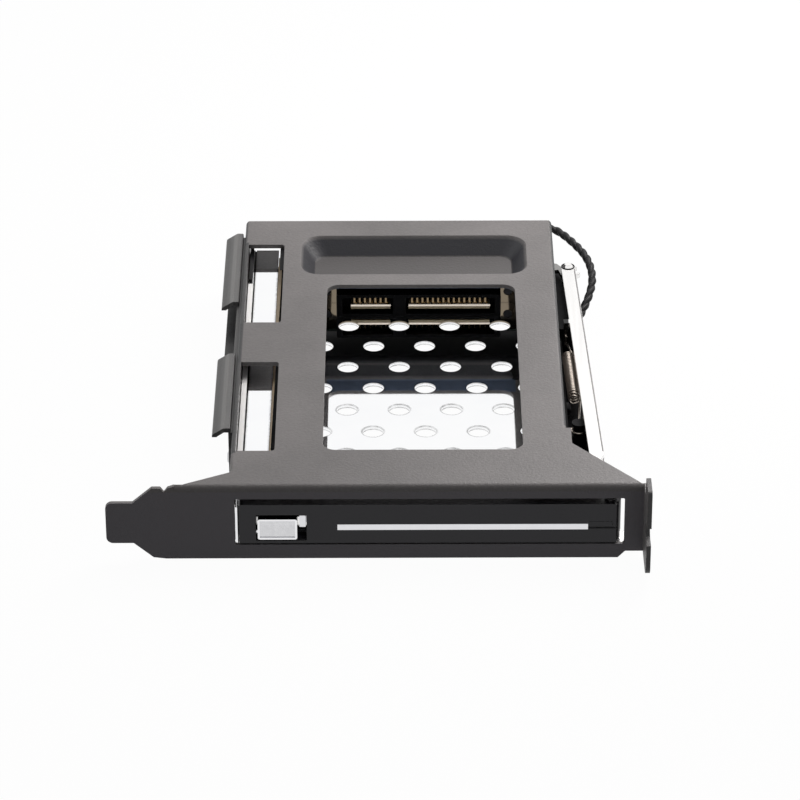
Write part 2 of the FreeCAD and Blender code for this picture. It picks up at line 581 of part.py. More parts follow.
def makeLeftRail():
    # steel rail on the left wall: two curled hooks with an open channel between them
    rail = Sheetwork("left_rail")
    web = d.plateLeft - d.railT
    under = hookTop - d.hookT
    rail.pad("y", d.railFront, d.railBack, rectangle((web, d.plateLeft), (d.railLow, under)))
    edge = d.plateLeft - d.railReach
    low = hookTop - d.hookSlope - d.hookLip
    side = d.plateLeft - d.hookSide
    slope = hookTop - d.hookSlope
    hook = [
        (side, under - d.hookSide), (side, hookTop, 0.4), (edge + d.hookRidge, hookTop, 1.0),
        (edge, slope, 0.7), (edge, low), (edge + d.hookT, low), (edge + d.hookT, slope - d.hookSide, 0.3),
        (edge + d.hookRidge, under, 0.4), (web, under), (web, under - d.hookSide),
    ]
    for front, back in ((d.railFront, d.hookFrontEnd), (d.hookRearStart, d.railBack)):
        rail.pad("y", front, back, hook)
    channel = rectangle((d.plateLeft - d.channelReach, web), (d.channelLow, d.channelLow + d.railT))
    rail.pad("y", d.channelFront, d.channelBack, channel)
    rail.pocket("x", web, d.plateLeft, circles=railHoles)
    inside = trayLeft + d.sheet
    rivets = []
    for y, z, radius in railHoles:
        shank = rod("x", web, y, z, radius, inside - web)
        head = rod("x", web - d.rivetHeadT, y, z, radius, d.rivetHeadT, d.railRivetHead)
        rivets.append(fuse(shank, head))
    node("rail_rivets", *rivets)
    strip = Sheetwork("flange_buffer")
    nose = d.bufferWidth * 0.49
    left = trayLeft + d.bufferSet
    right = left + d.bufferWidth
    length = [(left, d.bufferFront, nose), (right, d.bufferFront, nose),
              (right, d.bufferBack), (left, d.bufferBack)]
    strip.pad("z", trayTop, trayTop + d.bufferT, length)


def contactRow(left, count, front, back, level):
    # a row of flat contacts on top of a connector tongue
    row = []
    for index in range(count):
        middle = left + d.contactSide + d.contactWidth * half - 0.05 + d.contactPitch * index
        side = d.contactWidth * half
        row.append(box((middle - side, middle + side), (front, back), (level, level + d.contactT)))
    return row


def barWidth(count):
    return d.contactPitch * (count - 1) + (d.contactSide - 0.05) * 2 + d.contactWidth


def makeDriveConnector():
    # receptacle that the drive's own edge connector pushes into
    shell = Sheetwork("sata_receptacle")
    low, top = d.trayFloor, d.connectorTop
    block = rectangle((d.connectorLeft, d.connectorRight), (low, top), 0.5)
    shell.pad("y", d.connectorFront, boardFront, block)
    signalEnd = d.signalLeft + barWidth(7)
    powerEnd = d.powerLeft + barWidth(15)
    for left, right in (
        (d.connectorLeft + d.connectorWall, signalEnd + d.cavitySide),
        (d.powerLeft - d.cavitySide, d.connectorRight - d.connectorWall),
    ):
        mouth = rectangle((left, right), (d.cavityLow, d.cavityTop), 0.3)
        shell.pocket("y", d.connectorFront, d.barBack, mouth)
    level = (d.tongueBarZ, d.tongueBarZ + d.tongueBarT)
    bars = [box((d.signalLeft, signalEnd), (d.barFront, d.barBack), level),
            box((d.powerLeft, powerEnd), (d.barFront, d.barBack), level)]
    node("receptacle_tongues", *bars)
    front = d.barFront + d.contactSet
    contacts = contactRow(d.signalLeft, 7, front, d.barBack, level[1])
    contacts += contactRow(d.powerLeft, 15, front, d.barBack, level[1])
    node("receptacle_contacts", *contacts)


def makeRearBoard():
    board = Sheetwork("rear_board")
    ends = (d.rearTabLeft + d.boardInset, d.rearTabRight + d.boardInset)
    board.pad("y", boardFront, boardBack, rectangle(ends, (d.boardLow, boardTop), 0.8))
    board.pocket("y", boardFront, boardBack, circles=boardHoles)
    screws = []
    for x, z, radius in boardHoles:
        shank = rod("y", x, d.rearTabFront, z, d.boardScrewRound, boardBack - d.rearTabFront)
        head = rod("y", x, boardBack, z, d.boardHeadRound, d.boardHeadT)
        slot = box((x - d.driverSlot * half, x + d.driverSlot * half),
                   (boardBack + d.boardHeadT * half, boardBack + d.boardHeadT + 1),
                   (z - d.boardHeadRound, z + d.boardHeadRound))
        screws.append(cut(fuse(shank, head), slot))
    node("board_screws", *screws)
    # plug for the computer's data and power leads
    plug = Sheetwork("rear_plug")
    back = boardBack + d.rearPlugDepth
    block = rectangle((d.rearPlugLeft, d.rearPlugRight), (d.rearPlugLow, d.rearPlugTop), 0.5)
    plug.pad("y", boardBack, back, block)
    mouth = rectangle((d.rearPlugLeft + d.plugWall, d.rearPlugRight - d.plugWall),
                      (d.rearPlugLow + d.plugWall, d.rearPlugTop - d.plugWall), 0.3)
    plug.pocket("y", boardBack + d.plugWall, back, mouth)
    level = (d.rearBarZ, d.rearBarZ + d.tongueBarT)
    inner = boardBack + d.plugWall
    node("rear_plug_tongues",
         box((d.rearSignalLeft, d.rearSignalLeft + barWidth(7)), (inner, inner + d.rearBarReach), level),
         box((d.rearPowerLeft, d.rearPowerLeft + barWidth(15)), (inner, inner + d.rearBarReach), level))
    contacts = contactRow(d.rearSignalLeft, 7, inner, inner + d.rearBarReach - d.contactSet, level[1])
    contacts += contactRow(d.rearPowerLeft, 15, inner, inner + d.rearBarReach - d.contactSet, level[1])
    node("rear_plug_contacts", *contacts)
    # header and plug of the indicator cable
    header = Sheetwork("cable_header")
    span = (d.headerLeft, d.headerRight)
    header.pad("y", boardBack, boardBack + d.headerDepth, rectangle(span, (d.headerLow, d.headerTop)))
    w = d.headerWall
    inside = rectangle((d.headerLeft + w, d.headerRight - w), (d.headerLow + w, d.headerTop - w))
    header.pocket("y", boardBack + w, boardBack + d.headerDepth, inside)
    cablePlug = Sheetwork("cable_plug")
    cablePlug.pad("y", boardBack + w, boardBack + d.plugBack, inside)
    chips = []
    for index in range(4):
        left = d.chipLeft + d.chipPitch * index
        wide = d.chipWidth * (1 if index % 2 else 2)
        height = (boardTop - d.chipDrop, boardTop - d.chipDrop + d.chipHeight)
        chips.append(box((left, left + wide), (boardBack, boardBack + d.chipT), height))
    node("board_parts", *chips)


def makeHinge():
    # steel hinge bracket spot welded behind the face, with its pin and spacer
    ears = Sheetwork("hinge_bracket")
    ears.pad("y", d.sheet, d.sheet * 2, rectangle((earRight - d.earFoot, earRight), (d.earLow, earTop)))
    ear = [(earLeft, d.sheet), (earRight, d.sheet), (earRight, d.earBack, 1.0), (earLeft, d.earBack, 2.0)]
    for low in (d.earLow, earTop - d.earT):
        ears.pad("z", low, low + d.earT, ear)
    ears.pocket("z", d.earLow, earTop, circles=[(d.hingeX, d.hingeY, d.pinRound)])
    shaft = rod("z", d.hingeX, d.hingeY, d.earLow - 0.2, d.pinRound, earTop - d.earLow + 0.2)
    head = rod("z", d.hingeX, d.hingeY, earTop, d.pinHeadRound, d.pinHeadT)
    node("hinge_pin", fuse(shaft, head))
    low = doorTop + 0.3
    spacer = cut(rod("z", d.hingeX, d.hingeY, low, d.spacerRound, earTop - d.earT - low),
                 rod("z", d.hingeX, d.hingeY, low - 1, d.pinRound, earTop - low + 2))
    node("hinge_spacer", spacer)


def makeDoor():
    door = Sheetwork("door_panel")
    wall = d.doorWall
    inner = (d.doorFront + d.doorSkin, d.doorBack)
    slab = rectangle((d.doorLeft, d.doorRight), (d.doorLow, doorTop), d.doorRound)
    door.pad("y", d.doorFront, d.doorBack, slab)
    door.pad("z", d.doorLow, doorTop, circles=[(d.hingeX, d.hingeY, d.knuckleRound)])
    # crank arm: a bar at 45 degrees from the hinge to the crank pin, with a round end
    side = d.crankHalf * diagonal
    arm = [
        (d.hingeX - side, d.hingeY - side), (d.hingeX + side, d.hingeY + side),
        (crankX, crankY + side * 2, d.crankHalf * 0.9), (crankX - side * 2, crankY, d.crankHalf * 0.9),
    ]
    door.pad("z", crankLow, crankLow + d.crankT, arm)
    hollow = rectangle((d.doorLeft + wall, d.doorSolid), (d.doorLow + wall, doorTop - wall))
    door.pocket("y", inner[0], inner[1], hollow)
    rib = rectangle((d.springRib, d.springRib + d.springRibT), (d.doorLow + wall - 0.1, doorTop - wall + 0.1))
    door.pad("y", inner[0] - 0.1, linerFront, rib)
    cell = rectangle((d.cellLeft, d.cellRight), (d.cellLow, d.cellTop), 0.3)
    door.pocket("y", d.doorFront, armBack, cell)
    boltHole = rectangle((d.boltFront - d.boltGap, d.boltFront + d.boltT + d.boltGap),
                         (d.boltLow - d.boltGap, d.boltTop + d.boltGap))
    door.pocket("x", d.doorLeft, d.boltStepRight + d.buttonTravel + d.boltGap, boltHole)
    stripZ = (d.stripHeight - d.stripWidth * half, d.stripHeight + d.stripWidth * half)
    stripBed = rectangle((d.stripLeft, d.stripRight), stripZ)
    door.pocket("y", d.doorFront, d.doorFront + d.stripT, stripBed)
    grooveZ = (d.grooveHeight - d.grooveWidth * half, d.grooveHeight + d.grooveWidth * half)
    groove = rectangle((d.stripRight - 0.1, d.doorRight), grooveZ)
    door.pocket("y", d.doorFront, d.doorFront + d.grooveDepth, groove)
    door.pocket("z", d.doorLow, doorTop, circles=[(d.hingeX, d.hingeY, d.pinRound + d.runningGap)])
    door.pocket("z", crankLow, crankLow + d.crankT, circles=[(crankX, crankY, d.crankPinRound)])
    node("light_strip", box((d.stripLeft, d.stripRight),
                            (d.doorFront - d.stripProud, d.doorFront + d.stripT), stripZ))
    liner = Sheetwork("door_liner")
    liner.pad("y", linerFront, d.doorBack, hollow)
    passage = rectangle((d.wedgeLeft - 0.5, d.buttonRight - 1.5), (d.boltLow, d.boltTop), 0.3)
    liner.pocket("y", linerFront, d.doorBack, passage)
    pinTop = linkTop - 0.1
    node("crank_pin", rod("z", crankX, crankY, crankLow, d.crankPinRound, pinTop - crankLow))


def makeLatch():
    # button with its wedge, the bolt that the wedge draws back, and their springs
    back = d.buttonFront + d.buttonT
    frame = Sheetwork("button_frame")
    face = rectangle((d.buttonLeft, d.buttonRight), (d.buttonLow, d.buttonTop), d.buttonRound)
    frame.pad("y", d.buttonFront, back, face)
    rim = d.buttonRim
    inside = rectangle((d.buttonLeft + rim, d.buttonRight - rim), (d.buttonLow + rim, d.buttonTop - rim))
    frame.pocket("y", d.buttonFront, d.buttonFront + d.capDepth, inside)
    lug = rectangle((d.buttonLeft - d.buttonLug, d.buttonLeft + 0.2), (d.lugLow, d.lugTop))
    frame.pad("y", back - d.lugT, back, lug)
    reach = d.armFront - d.boltGap * 0.25
    tip = d.boltWindowRight - d.wedgeGap
    wedge = [(d.wedgeLeft, back - 0.1), (tip + (reach - back) + 0.1, back - 0.1),
             (tip, reach), (d.wedgeLeft, reach)]
    rimZ = d.boltWindowRim + 0.15
    frame.pad("z", d.boltLow + rimZ, d.boltTop - rimZ, wedge)
    cap = Sheetwork("button_cap")
    low, top = d.buttonLow + rim, d.buttonTop - rim - d.capGap
    front, rear = d.buttonFront + d.capSink, d.buttonFront + d.capDepth
    bevel = [(front + d.capBevel * half, low), (rear, low), (rear, top), (front + d.capBevel, top),
             (front, top - d.capBevel * 1.6), (front, low + d.capBevel * half)]
    cap.pad("x", d.buttonLeft + rim, d.buttonRight - rim, bevel)
    bolt = Sheetwork("latch_bolt")
    nose = [
        (d.boltTip, d.boltFront), (d.boltStepRight, d.boltFront), (d.boltStepRight, armBack),
        (d.boltStepLeft, armBack), (d.boltStepLeft, d.boltFront + d.boltT),
        (d.boltTip + d.boltBevel, d.boltFront + d.boltT), (d.boltTip, d.boltFront + d.boltT - d.boltBevel),
    ]
    bolt.pad("z", d.boltLow, d.boltTop, nose)
    height = (d.boltLow, d.boltTop)
    bolt.pad("y", d.armFront, armBack, rectangle((d.boltStepLeft, d.armRight), height))
    bolt.pad("y", d.armTabFront, armBack, rectangle((d.armRight - d.armTab, d.armRight), height))
    slot = rectangle((d.boltWindowLeft, d.boltWindowRight),
                     (d.boltLow + d.boltWindowRim, d.boltTop - d.boltWindowRim))
    bolt.pocket("y", d.armFront, armBack, slot)
    lock = Sheetwork("lock_slider")
    tab = rectangle((d.lockLeft, d.lockRight), (d.lockLow, d.lockTop), 0.2)
    lock.pad("y", d.lockFront, d.lockBack, tab)
    foot = rectangle((d.lockRight - 0.1, d.lockRight + d.lockFoot), (d.lockLow + 0.4, d.lockTop - 0.4))
    lock.pad("y", d.lockBack - d.lockFootT, d.lockBack, foot)
    springs = []
    for x in (d.springLeft, d.springRight):
        springs.append(cut(rod("y", x, back, d.springHeight, d.buttonSpringRound, linerFront - back),
                           rod("y", x, back - 1, d.springHeight, d.springBore, d.doorBack)))
    node("button_springs", *springs)
    y = (d.armTabFront + armBack) * half
    z = (d.boltLow + d.boltTop) * half
    node("latch_spring", cut(rod("x", d.armRight, y, z, d.latchSpringRound, d.springRib - d.armRight),
                             rod("x", d.armRight - 1, y, z, d.springBore, d.springRib - d.armRight + 2)))


def toLink(x, y):
    # bracket coordinates to the pull link's own, which run along the link from its rear rivet
    lean = math.radians(float(d.linkLean))
    across, along = sized(x) - d.rivetX, sized(y) - d.rivetY
    return (across * math.cos(lean) + along * math.sin(lean),
            along * math.cos(lean) - across * math.sin(lean))


def makeLink():
    link = Sheetwork("eject_link", linkFrame)
    side = d.linkHalf
    # the crank pin's path in the link: it starts at one side and swings out at half travel
    startU, startV = toLink(crankX, crankY)
    midU = toLink(d.hingeX - d.crankThrow, d.hingeY)[0]
    play = d.crankPinRound + d.slotGap
    slot = ((midU - play, startU + play), (startV - play, startV + play))
    wall = d.linkHeadWall
    strip = [
        (-side, side, side * 0.95), (side, side, side * 0.95), (side, -d.linkJogStart),
        (slot[0][1] + wall, -d.linkJogEnd), (slot[0][1] + wall, slot[1][0] - wall, 0.8),
        (slot[0][0] - wall, slot[1][0] - wall, 0.8), (slot[0][0] - wall, -d.linkJogEnd, 0.8),
        (-side, -d.linkJogStart),
    ]
    link.pad("z", linkUnder, linkTop, strip)
    lip = rectangle((side - d.linkT, side), (-d.linkJogStart, -d.lipStart))
    link.pad("z", lipBottom, linkUnder + 0.1, lip)
    tab = rectangle((d.springU - d.springTabT * half, d.springU + d.springTabT * half),
                    (d.springTabV - d.springTabHalf, d.springTabV + d.springTabHalf))
    link.pad("z", springZ - d.springTabHalf, linkTop, tab)
    bridge = rectangle((d.springU - d.springTabT * half, -side + 0.1),
                       (d.springTabV - d.springTabHalf, d.springTabV + d.springTabHalf))
    link.pad("z", linkUnder, linkTop, bridge)
    link.pocket("x", d.springU - d.springTabT * half, d.springU + d.springTabT * half,
                circles=[(d.springTabV, springZ, d.springTabHole)])
    link.pocket("z", linkUnder, linkTop, rectangle(slot[0], slot[1], play * 0.95))
    link.pocket("z", linkUnder, linkTop, circles=[(0, 0, d.rivetRound)])
    shank = rod("z", 0, 0, rivetFoot, d.rivetRound, linkTop - rivetFoot)
    head = rod("z", 0, 0, linkTop, d.rivetHead, d.rivetHeadT, d.rivetHead * 0.6)
    heel = rod("z", 0, 0, rivetFoot, d.rivetHead, d.rivetHeadT)
    node("link_rivet", fuse(shank, head, heel), frame=linkFrame)


def makeLever():
    lever = Sheetwork("ejector_lever", (d.leverX, d.leverY, sized(leverAngle)))
    wide = d.leverHalf
    arm = [
        (0, -wide), (d.neckInner - wide, -wide), (d.neckInner, d.neckLow), (d.neckOuter, d.neckLow),
        (d.neckOuter, -wide), (d.forkTip, -wide, 0.8), (d.forkTip, wide, 0.8),
        (d.neckOuter + wide * half, wide), (d.neckOuter + 0.3, d.neckHigh, 0.8),
        (d.neckInner - 0.6, d.neckHigh, 1.2), (0, wide),
    ]
    lever.pad("z", leverUnder, leverTop, arm)
    lever.pad("z", leverUnder, leverTop, circles=[(0, 0, wide)])
    fork = rectangle((d.forkStart, d.forkTip + 1), (-d.rivetRound - d.forkGap, d.rivetRound + d.forkGap), 0.6)
    lever.pocket("z", leverUnder, leverTop, fork)
    lever.pocket("z", leverUnder, leverTop, circles=[(0, 0, d.leverPostRound + d.runningGap)])
    finger = rectangle((d.fingerAt, d.fingerAt + d.fingerWidth), (-wide, -wide + d.fingerT))
    lever.pad("z", d.fingerLow, leverUnder + 0.1, finger)
    journal = rod("z", d.leverX, d.leverY, trayUnder, d.leverPostRound, leverTop + 0.15 - trayUnder)
    shoulder = rod("z", d.leverX, d.leverY, d.trayFloor, d.postShoulder, leverUnder - 0.1 - d.trayFloor)
    head = rod("z", d.leverX, d.leverY, leverTop + 0.15, d.postHeadRound, d.postHeadT)
    node("lever_post", fuse(journal, shoulder, head))


def makeGuide():
    # a wall on the cover's side, a shelf under the link, and two ribs that the link slides along
    guide = Sheetwork("side_guide", linkFrame)
    gap = d.grooveGap
    inner = d.linkHalf - d.linkT - gap
    wall = [toLink(x, y) for x, y in rectangle((d.plateRight, guideFace), (d.guideFront, d.guideBack))]
    guide.pad("z", d.guideLow, d.guideTop, wall)
    near, far = toLink(d.plateRight, d.guideFront), toLink(d.plateRight, d.shelfBack)
    side = d.linkHalf + d.shelfSide
    guide.pad("z", d.guideLow, d.guideLow + d.shelfT, [near, (side, near[1]), (side, far[1]), far])
    ribBack = toLink(d.plateRight, d.frontRibBack)[1]
    guide.pad("z", d.guideLow, linkUnder - gap, rectangle((inner - d.grooveSide, inner), (near[1], ribBack)))
    near, far = toLink(d.plateRight, d.rearBlockFront), toLink(d.plateRight, d.guideBack)
    guide.pad("z", d.rearBlockLow, rearBlockTop, [near, (inner, near[1]), (inner, far[1]), far])
    holes = [(y, d.guideScrewHeight) for y in (d.guideScrewFront, d.guideScrewRear)]
    for y, z in holes:
        u, v = toLink(guideFace, y)
        clear = d.guideScrewRound + d.screwGap * 2
        guide.pocket("x", u - d.guideWall * 2, u + d.guideHeadT, circles=[(v, z, clear)])
    screws = []
    for y, z in holes:
        shank = rod("x", d.screwEnd, y, z, d.guideScrewRound, guideFace - d.screwEnd)
        head = rod("x", guideFace, y, z, d.guideHeadRound, d.guideHeadT)
        slot = box((guideFace + d.guideHeadT * half, guideFace + d.guideHeadT + 1),
                   (y - d.driverSlot * half, y + d.driverSlot * half),
                   (z - d.guideHeadRound, z + d.guideHeadRound))
        screws.append(cut(fuse(shank, head), slot))
    node("guide_screws", *screws)
    base = d.guideLow + d.shelfT
    post = rod("z", d.springU, d.springPostV, base, d.springPostRound, springPostTop - base)
    cap = rod("z", d.springU, d.springPostV, springPostTop - 0.6, d.springPostHead, 0.6)
    collar = rod("z", d.springU, d.springPostV, base, d.springPostHead, springZ - 1.2 - base)
    node("spring_post", fuse(post, cap, collar), frame=linkFrame)


def eye(u, v, z, radius, wire):
    # a flat ring in place of the wire's loop
    thick = d.eyeT * half
    return cut(rod("z", u, v, z - thick, radius + wire, d.eyeT),
               rod("z", u, v, z - d.eyeT, radius - wire, d.eyeT * 2))


def makeSpring():
    # extension spring: coil body as a sleeve, two straight legs and an eye at each end
    length = d.coilBack - d.coilFront
    taper = d.springRound - d.springWire * 2
    body = rod("y", d.springU, d.coilFront + d.coilTaper, springZ, d.springRound, length - d.coilTaper * 2)
    ends = [rod("y", d.springU, d.coilFront, springZ, taper, d.coilTaper, d.springRound),
            rod("y", d.springU, d.coilBack - d.coilTaper, springZ, d.springRound, d.coilTaper, taper)]
    eyes = [eye(d.springU, d.springPostV, springZ, d.frontEye, d.springWire),
            eye(d.springU, d.springTabV - d.rearEye, springZ, d.rearEye, d.springWire)]
    frontLeg = (d.springPostV + d.frontEye, d.coilFront + 0.1)
    rearLeg = (d.coilBack - 0.1, d.springTabV - d.rearEye * 2)
    legs = [rod("y", d.springU, low, springZ, d.springWire, high - low) for low, high in (frontLeg, rearLeg)]
    node("eject_spring", fuse(body, *ends, *eyes, *legs), frame=linkFrame)


def makeIndicator():
    # small board with the indicator, on the tray's outer wall behind the door
    board = Sheetwork("led_board")
    area = rectangle((d.ledBoardFront, d.ledBoardBack), (d.ledBoardLow, d.ledBoardTop), 0.5)
    board.pad("x", trayRight, trayRight + d.ledBoardT, area)
    face = trayRight + d.ledBoardT
    node("led_socket", box((face, face + d.ledSocketT), (d.ledSocketFront, d.ledSocketBack),
                           (d.ledSocketLow, d.ledSocketTop)))
    body = box((face, face + d.ledRound * 2), (d.ledBoardFront, d.ledBoardFront + d.ledLength),
               (d.ledZ - d.ledRound, d.ledZ + d.ledRound))
    lens = rod("y", face + d.ledRound, d.ledBoardFront - 1.6, d.ledZ, d.ledRound, 1.7)
    node("status_led", fuse(body, lens))


# the indicator cable's route, from the plug on the rear board to the socket behind the door
cableRoute = [
    (95.9, 120.4, 8.8), (95.9, 124.54, 8.8), (92.12, 131.1, 9.7), (93.49, 136.22, 10.5),
    (98.08, 138.87, 11.0), (103.2, 137.5, 11.1), (107.0, 131.9, 10.9), (111.2, 123.7, 10.1),
    (112.35, 115.2, 8.6), (110.6, 107.8, 6.4), (107.7, 101.2, 4.3), (106.4, 95.0, 2.8),
    (106.0, 64.0, 2.6), (106.2, 36.5, 2.8), (103.75, 28.5, 3.4), (103.75, 20.0, 3.4),
]


def makeCable():
    # straight runs joined by tangent arcs, each as large as its two runs allow
    points = [Vector(*p) for p in cableRoute]
    path = []
    start = points[0]
    for before, corner, after in zip(points, points[1:], points[2:]):
        back, ahead = before - corner, after - corner
        short = min(back.Length, ahead.Length)
        between = back.getAngle(ahead)
        turn = math.pi - between
        reach = 0.45 * short
        radius = reach / math.tan(turn / 2)
        first = corner + back.normalize() * reach
        last = corner + ahead.normalize() * reach
        middle = (back + ahead).normalize()
        top = corner + middle * (radius / math.cos(turn / 2) - radius)
        path.append(Part.LineSegment(start, first).toShape())
        path.append(Part.Arc(first, top, last).toShape())
        start = last
        print("cable arc radius %.1f" % radius)
    path.append(Part.LineSegment(start, points[-1]).toShape())
    wire = Part.Wire(path)
    ahead = points[1] - points[0]
    circle = Part.Circle(points[0], ahead, float(d.cableRound)).toShape()
    tube = wire.makePipeShell([Part.Wire([circle])], True, False)
    expected = math.pi * float(d.cableRound) ** 2 * wire.Length
    print("cable length %.1f, volume share %.4f" % (wire.Length, tube.Volume / expected))
    cable = doc.addObject("Part::Feature", "signal_cable")
    cable.Label = "signal_cable"
    cable.Shape = tube
    place(cable)
    clips = []
    for y in (d.frontClip, d.rearClip):
        block = box((d.clipX - d.clipHalf, d.clipX + d.clipHalf),
                    (y - d.clipLength * half, y + d.clipLength * half), (d.clipLow, d.guideLow))
        bore = rod("y", d.clipX, y - d.clipLength, d.clipZ, d.clipBore, d.clipLength * 2)
        clips.append(cut(block, bore))
    node("cable_clips", *clips)


for make in (makeBracketCover, makeTray, makeLeftRail, makeDriveConnector, makeRearBoard, makeHinge, makeDoor,
             makeLatch, makeLink, makeLever, makeGuide, makeSpring, makeIndicator, makeCable):
    make()
doc.recompute()

for thing in doc.Objects:
    if "Invalid" in thing.State or "Error" in thing.State:
        raise RuntimeError("%s has failed: %s" % (thing.Label, thing.State))
os.makedirs("parts", exist_ok=True)
for thing in nodes:
    shape = thing.Shape
    if shape.isNull() or not shape.isValid():
        raise RuntimeError("%s has no valid shape" % thing.Label)
    shape.exportStep("parts/%s.step" % thing.Label)
    print("%s: %d solid(s), %.1f mm3" % (thing.Label, len(shape.Solids), shape.Volume))
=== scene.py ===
import json
import math
import bpy
import bmesh
from mathutils import Euler, Matrix, Vector


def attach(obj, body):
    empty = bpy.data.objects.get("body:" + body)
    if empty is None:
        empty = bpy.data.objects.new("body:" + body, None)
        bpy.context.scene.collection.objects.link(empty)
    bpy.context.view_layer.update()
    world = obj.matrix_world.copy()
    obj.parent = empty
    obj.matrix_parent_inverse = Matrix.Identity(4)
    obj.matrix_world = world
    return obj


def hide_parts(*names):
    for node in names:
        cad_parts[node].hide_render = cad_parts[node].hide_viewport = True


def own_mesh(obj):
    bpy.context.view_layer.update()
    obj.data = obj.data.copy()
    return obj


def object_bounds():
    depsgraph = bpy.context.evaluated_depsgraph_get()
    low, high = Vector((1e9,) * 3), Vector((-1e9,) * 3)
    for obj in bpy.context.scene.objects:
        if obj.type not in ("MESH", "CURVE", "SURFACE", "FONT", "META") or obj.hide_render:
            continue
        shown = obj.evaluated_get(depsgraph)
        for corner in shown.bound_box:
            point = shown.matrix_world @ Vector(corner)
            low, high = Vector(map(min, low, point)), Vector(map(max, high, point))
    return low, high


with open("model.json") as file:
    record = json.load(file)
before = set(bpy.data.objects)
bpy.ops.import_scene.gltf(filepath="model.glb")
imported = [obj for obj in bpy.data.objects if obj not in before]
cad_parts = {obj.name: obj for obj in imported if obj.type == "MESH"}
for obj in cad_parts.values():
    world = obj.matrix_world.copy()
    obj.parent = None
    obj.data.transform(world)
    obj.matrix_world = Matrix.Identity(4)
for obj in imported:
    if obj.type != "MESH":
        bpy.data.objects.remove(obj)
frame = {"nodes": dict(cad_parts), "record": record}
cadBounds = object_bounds()
scene = bpy.context.scene
mm = 0.001
origin = Vector((59.7, 57.935, 0))  # bracket corner to the frame's middle, in mm


def at(x, y, z):
    # bracket coordinates in mm to the frame in metres
    return (Vector((x, y, z)) - origin) * mm


# where the camera stands in bracket mm, its angles in degrees and its lens in mm
camera = {"x": 64.861, "y": -769.14, "z": 477.77, "down": 29.637, "roll": 0.168, "lens": 184.04}
cameraData = bpy.data.cameras.new("camera")
cameraData.lens = camera["lens"]
cameraData.sensor_width = 36
cameraData.clip_end = 20
cameraObject = bpy.data.objects.new("camera", cameraData)
tilt = Euler((math.radians(90 - camera["down"]), 0, 0)).to_matrix().to_4x4()
turn = Matrix.Rotation(math.radians(-camera["roll"]), 4, "Z")
cameraObject.matrix_world = Matrix.Translation(at(camera["x"], camera["y"], camera["z"])) @ tilt @ turn
scene.collection.objects.link(cameraObject)
scene.camera = cameraObject
scene.view_settings.view_transform = "Standard"


def newObject(name, mesh, material, smooth=True):
    piece = bpy.data.objects.new(name, mesh)
    scene.collection.objects.link(piece)
    mesh.materials.append(material)
    if smooth:
        for face in mesh.polygons:
            face.use_smooth = True
    return piece


def meshFrom(name, vertices, faces):
    mesh = bpy.data.meshes.new(name)
    mesh.from_pydata([tuple(v) for v in vertices], [], faces)
    mesh.update()
    return mesh


def addNode(tree, kind, inputs=None, **settings):
    # inputs are values by socket, settings the node's own properties
    node = tree.nodes.new(kind)
    for key, value in settings.items():
        setattr(node, key, value)
    for key, value in (inputs or {}).items():
        node.inputs[key].default_value = value
    return node


def newGroup(name, inputs, outputs):
    # an empty node group, whose inputs and outputs are all plain numbers
    tree = bpy.data.node_groups.new(name, "ShaderNodeTree")
    for label, value in inputs.items():
        socket = tree.interface.new_socket(label, in_out="INPUT", socket_type="NodeSocketFloat")
        socket.default_value = value
    for label in outputs:
        tree.interface.new_socket(label, in_out="OUTPUT", socket_type="NodeSocketFloat")
    return tree, tree.nodes.new("NodeGroupInput"), tree.nodes.new("NodeGroupOutput")


def scaledPoint(tree, stretch=(1, 1, 1)):
    # the place on the object, in metres unless stretched
    place = addNode(tree, "ShaderNodeTexCoord")
    mapping = addNode(tree, "ShaderNodeMapping", {"Scale": stretch})
    tree.links.new(place.outputs["Object"], mapping.inputs["Vector"])
    return mapping.outputs["Vector"]


def mathNode(tree, operation, *values):
    # one Math node, whose inputs are sockets or plain numbers
    node = addNode(tree, "ShaderNodeMath", operation=operation)
    for index, value in enumerate(values):
        if isinstance(value, (int, float)):
            node.inputs[index].default_value = value
        else:
            tree.links.new(value, node.inputs[index])
    return node.outputs[0]


def rampNode(tree, value, low, high, toLow=0.0, toHigh=1.0):
    ends = {"From Min": low, "From Max": high, "To Min": toLow, "To Max": toHigh}
    node = addNode(tree, "ShaderNodeMapRange", ends)
    tree.links.new(value, node.inputs["Value"])
    return node.outputs["Result"]


surfaceInputs = {"Scale": 900.0, "Rough": 0.4, "Wander": 0.1}
surfaceOutputs = ("Height", "Roughness", "Shade")
bevelSamples = 4


def wanderRoughness(tree, inside, out, value):
    # roughness that moves round its middle with a value from 0 to 1
    centred = mathNode(tree, "SUBTRACT", value, 0.5)
    spread = mathNode(tree, "MULTIPLY_ADD", centred, inside.outputs["Wander"], inside.outputs["Rough"])
    tree.links.new(spread, out.inputs["Roughness"])


grain = {
    # the two noises, how much of the fine one is in the shade, and the shade's lowest and highest value
    "fine": {"Detail": 3.0, "Roughness": 0.65},
    "broad": {"Scale": 38.0, "Detail": 4.0, "Roughness": 0.55},
    "fineShare": 0.5, "shade": (0.35, 1.1),
}


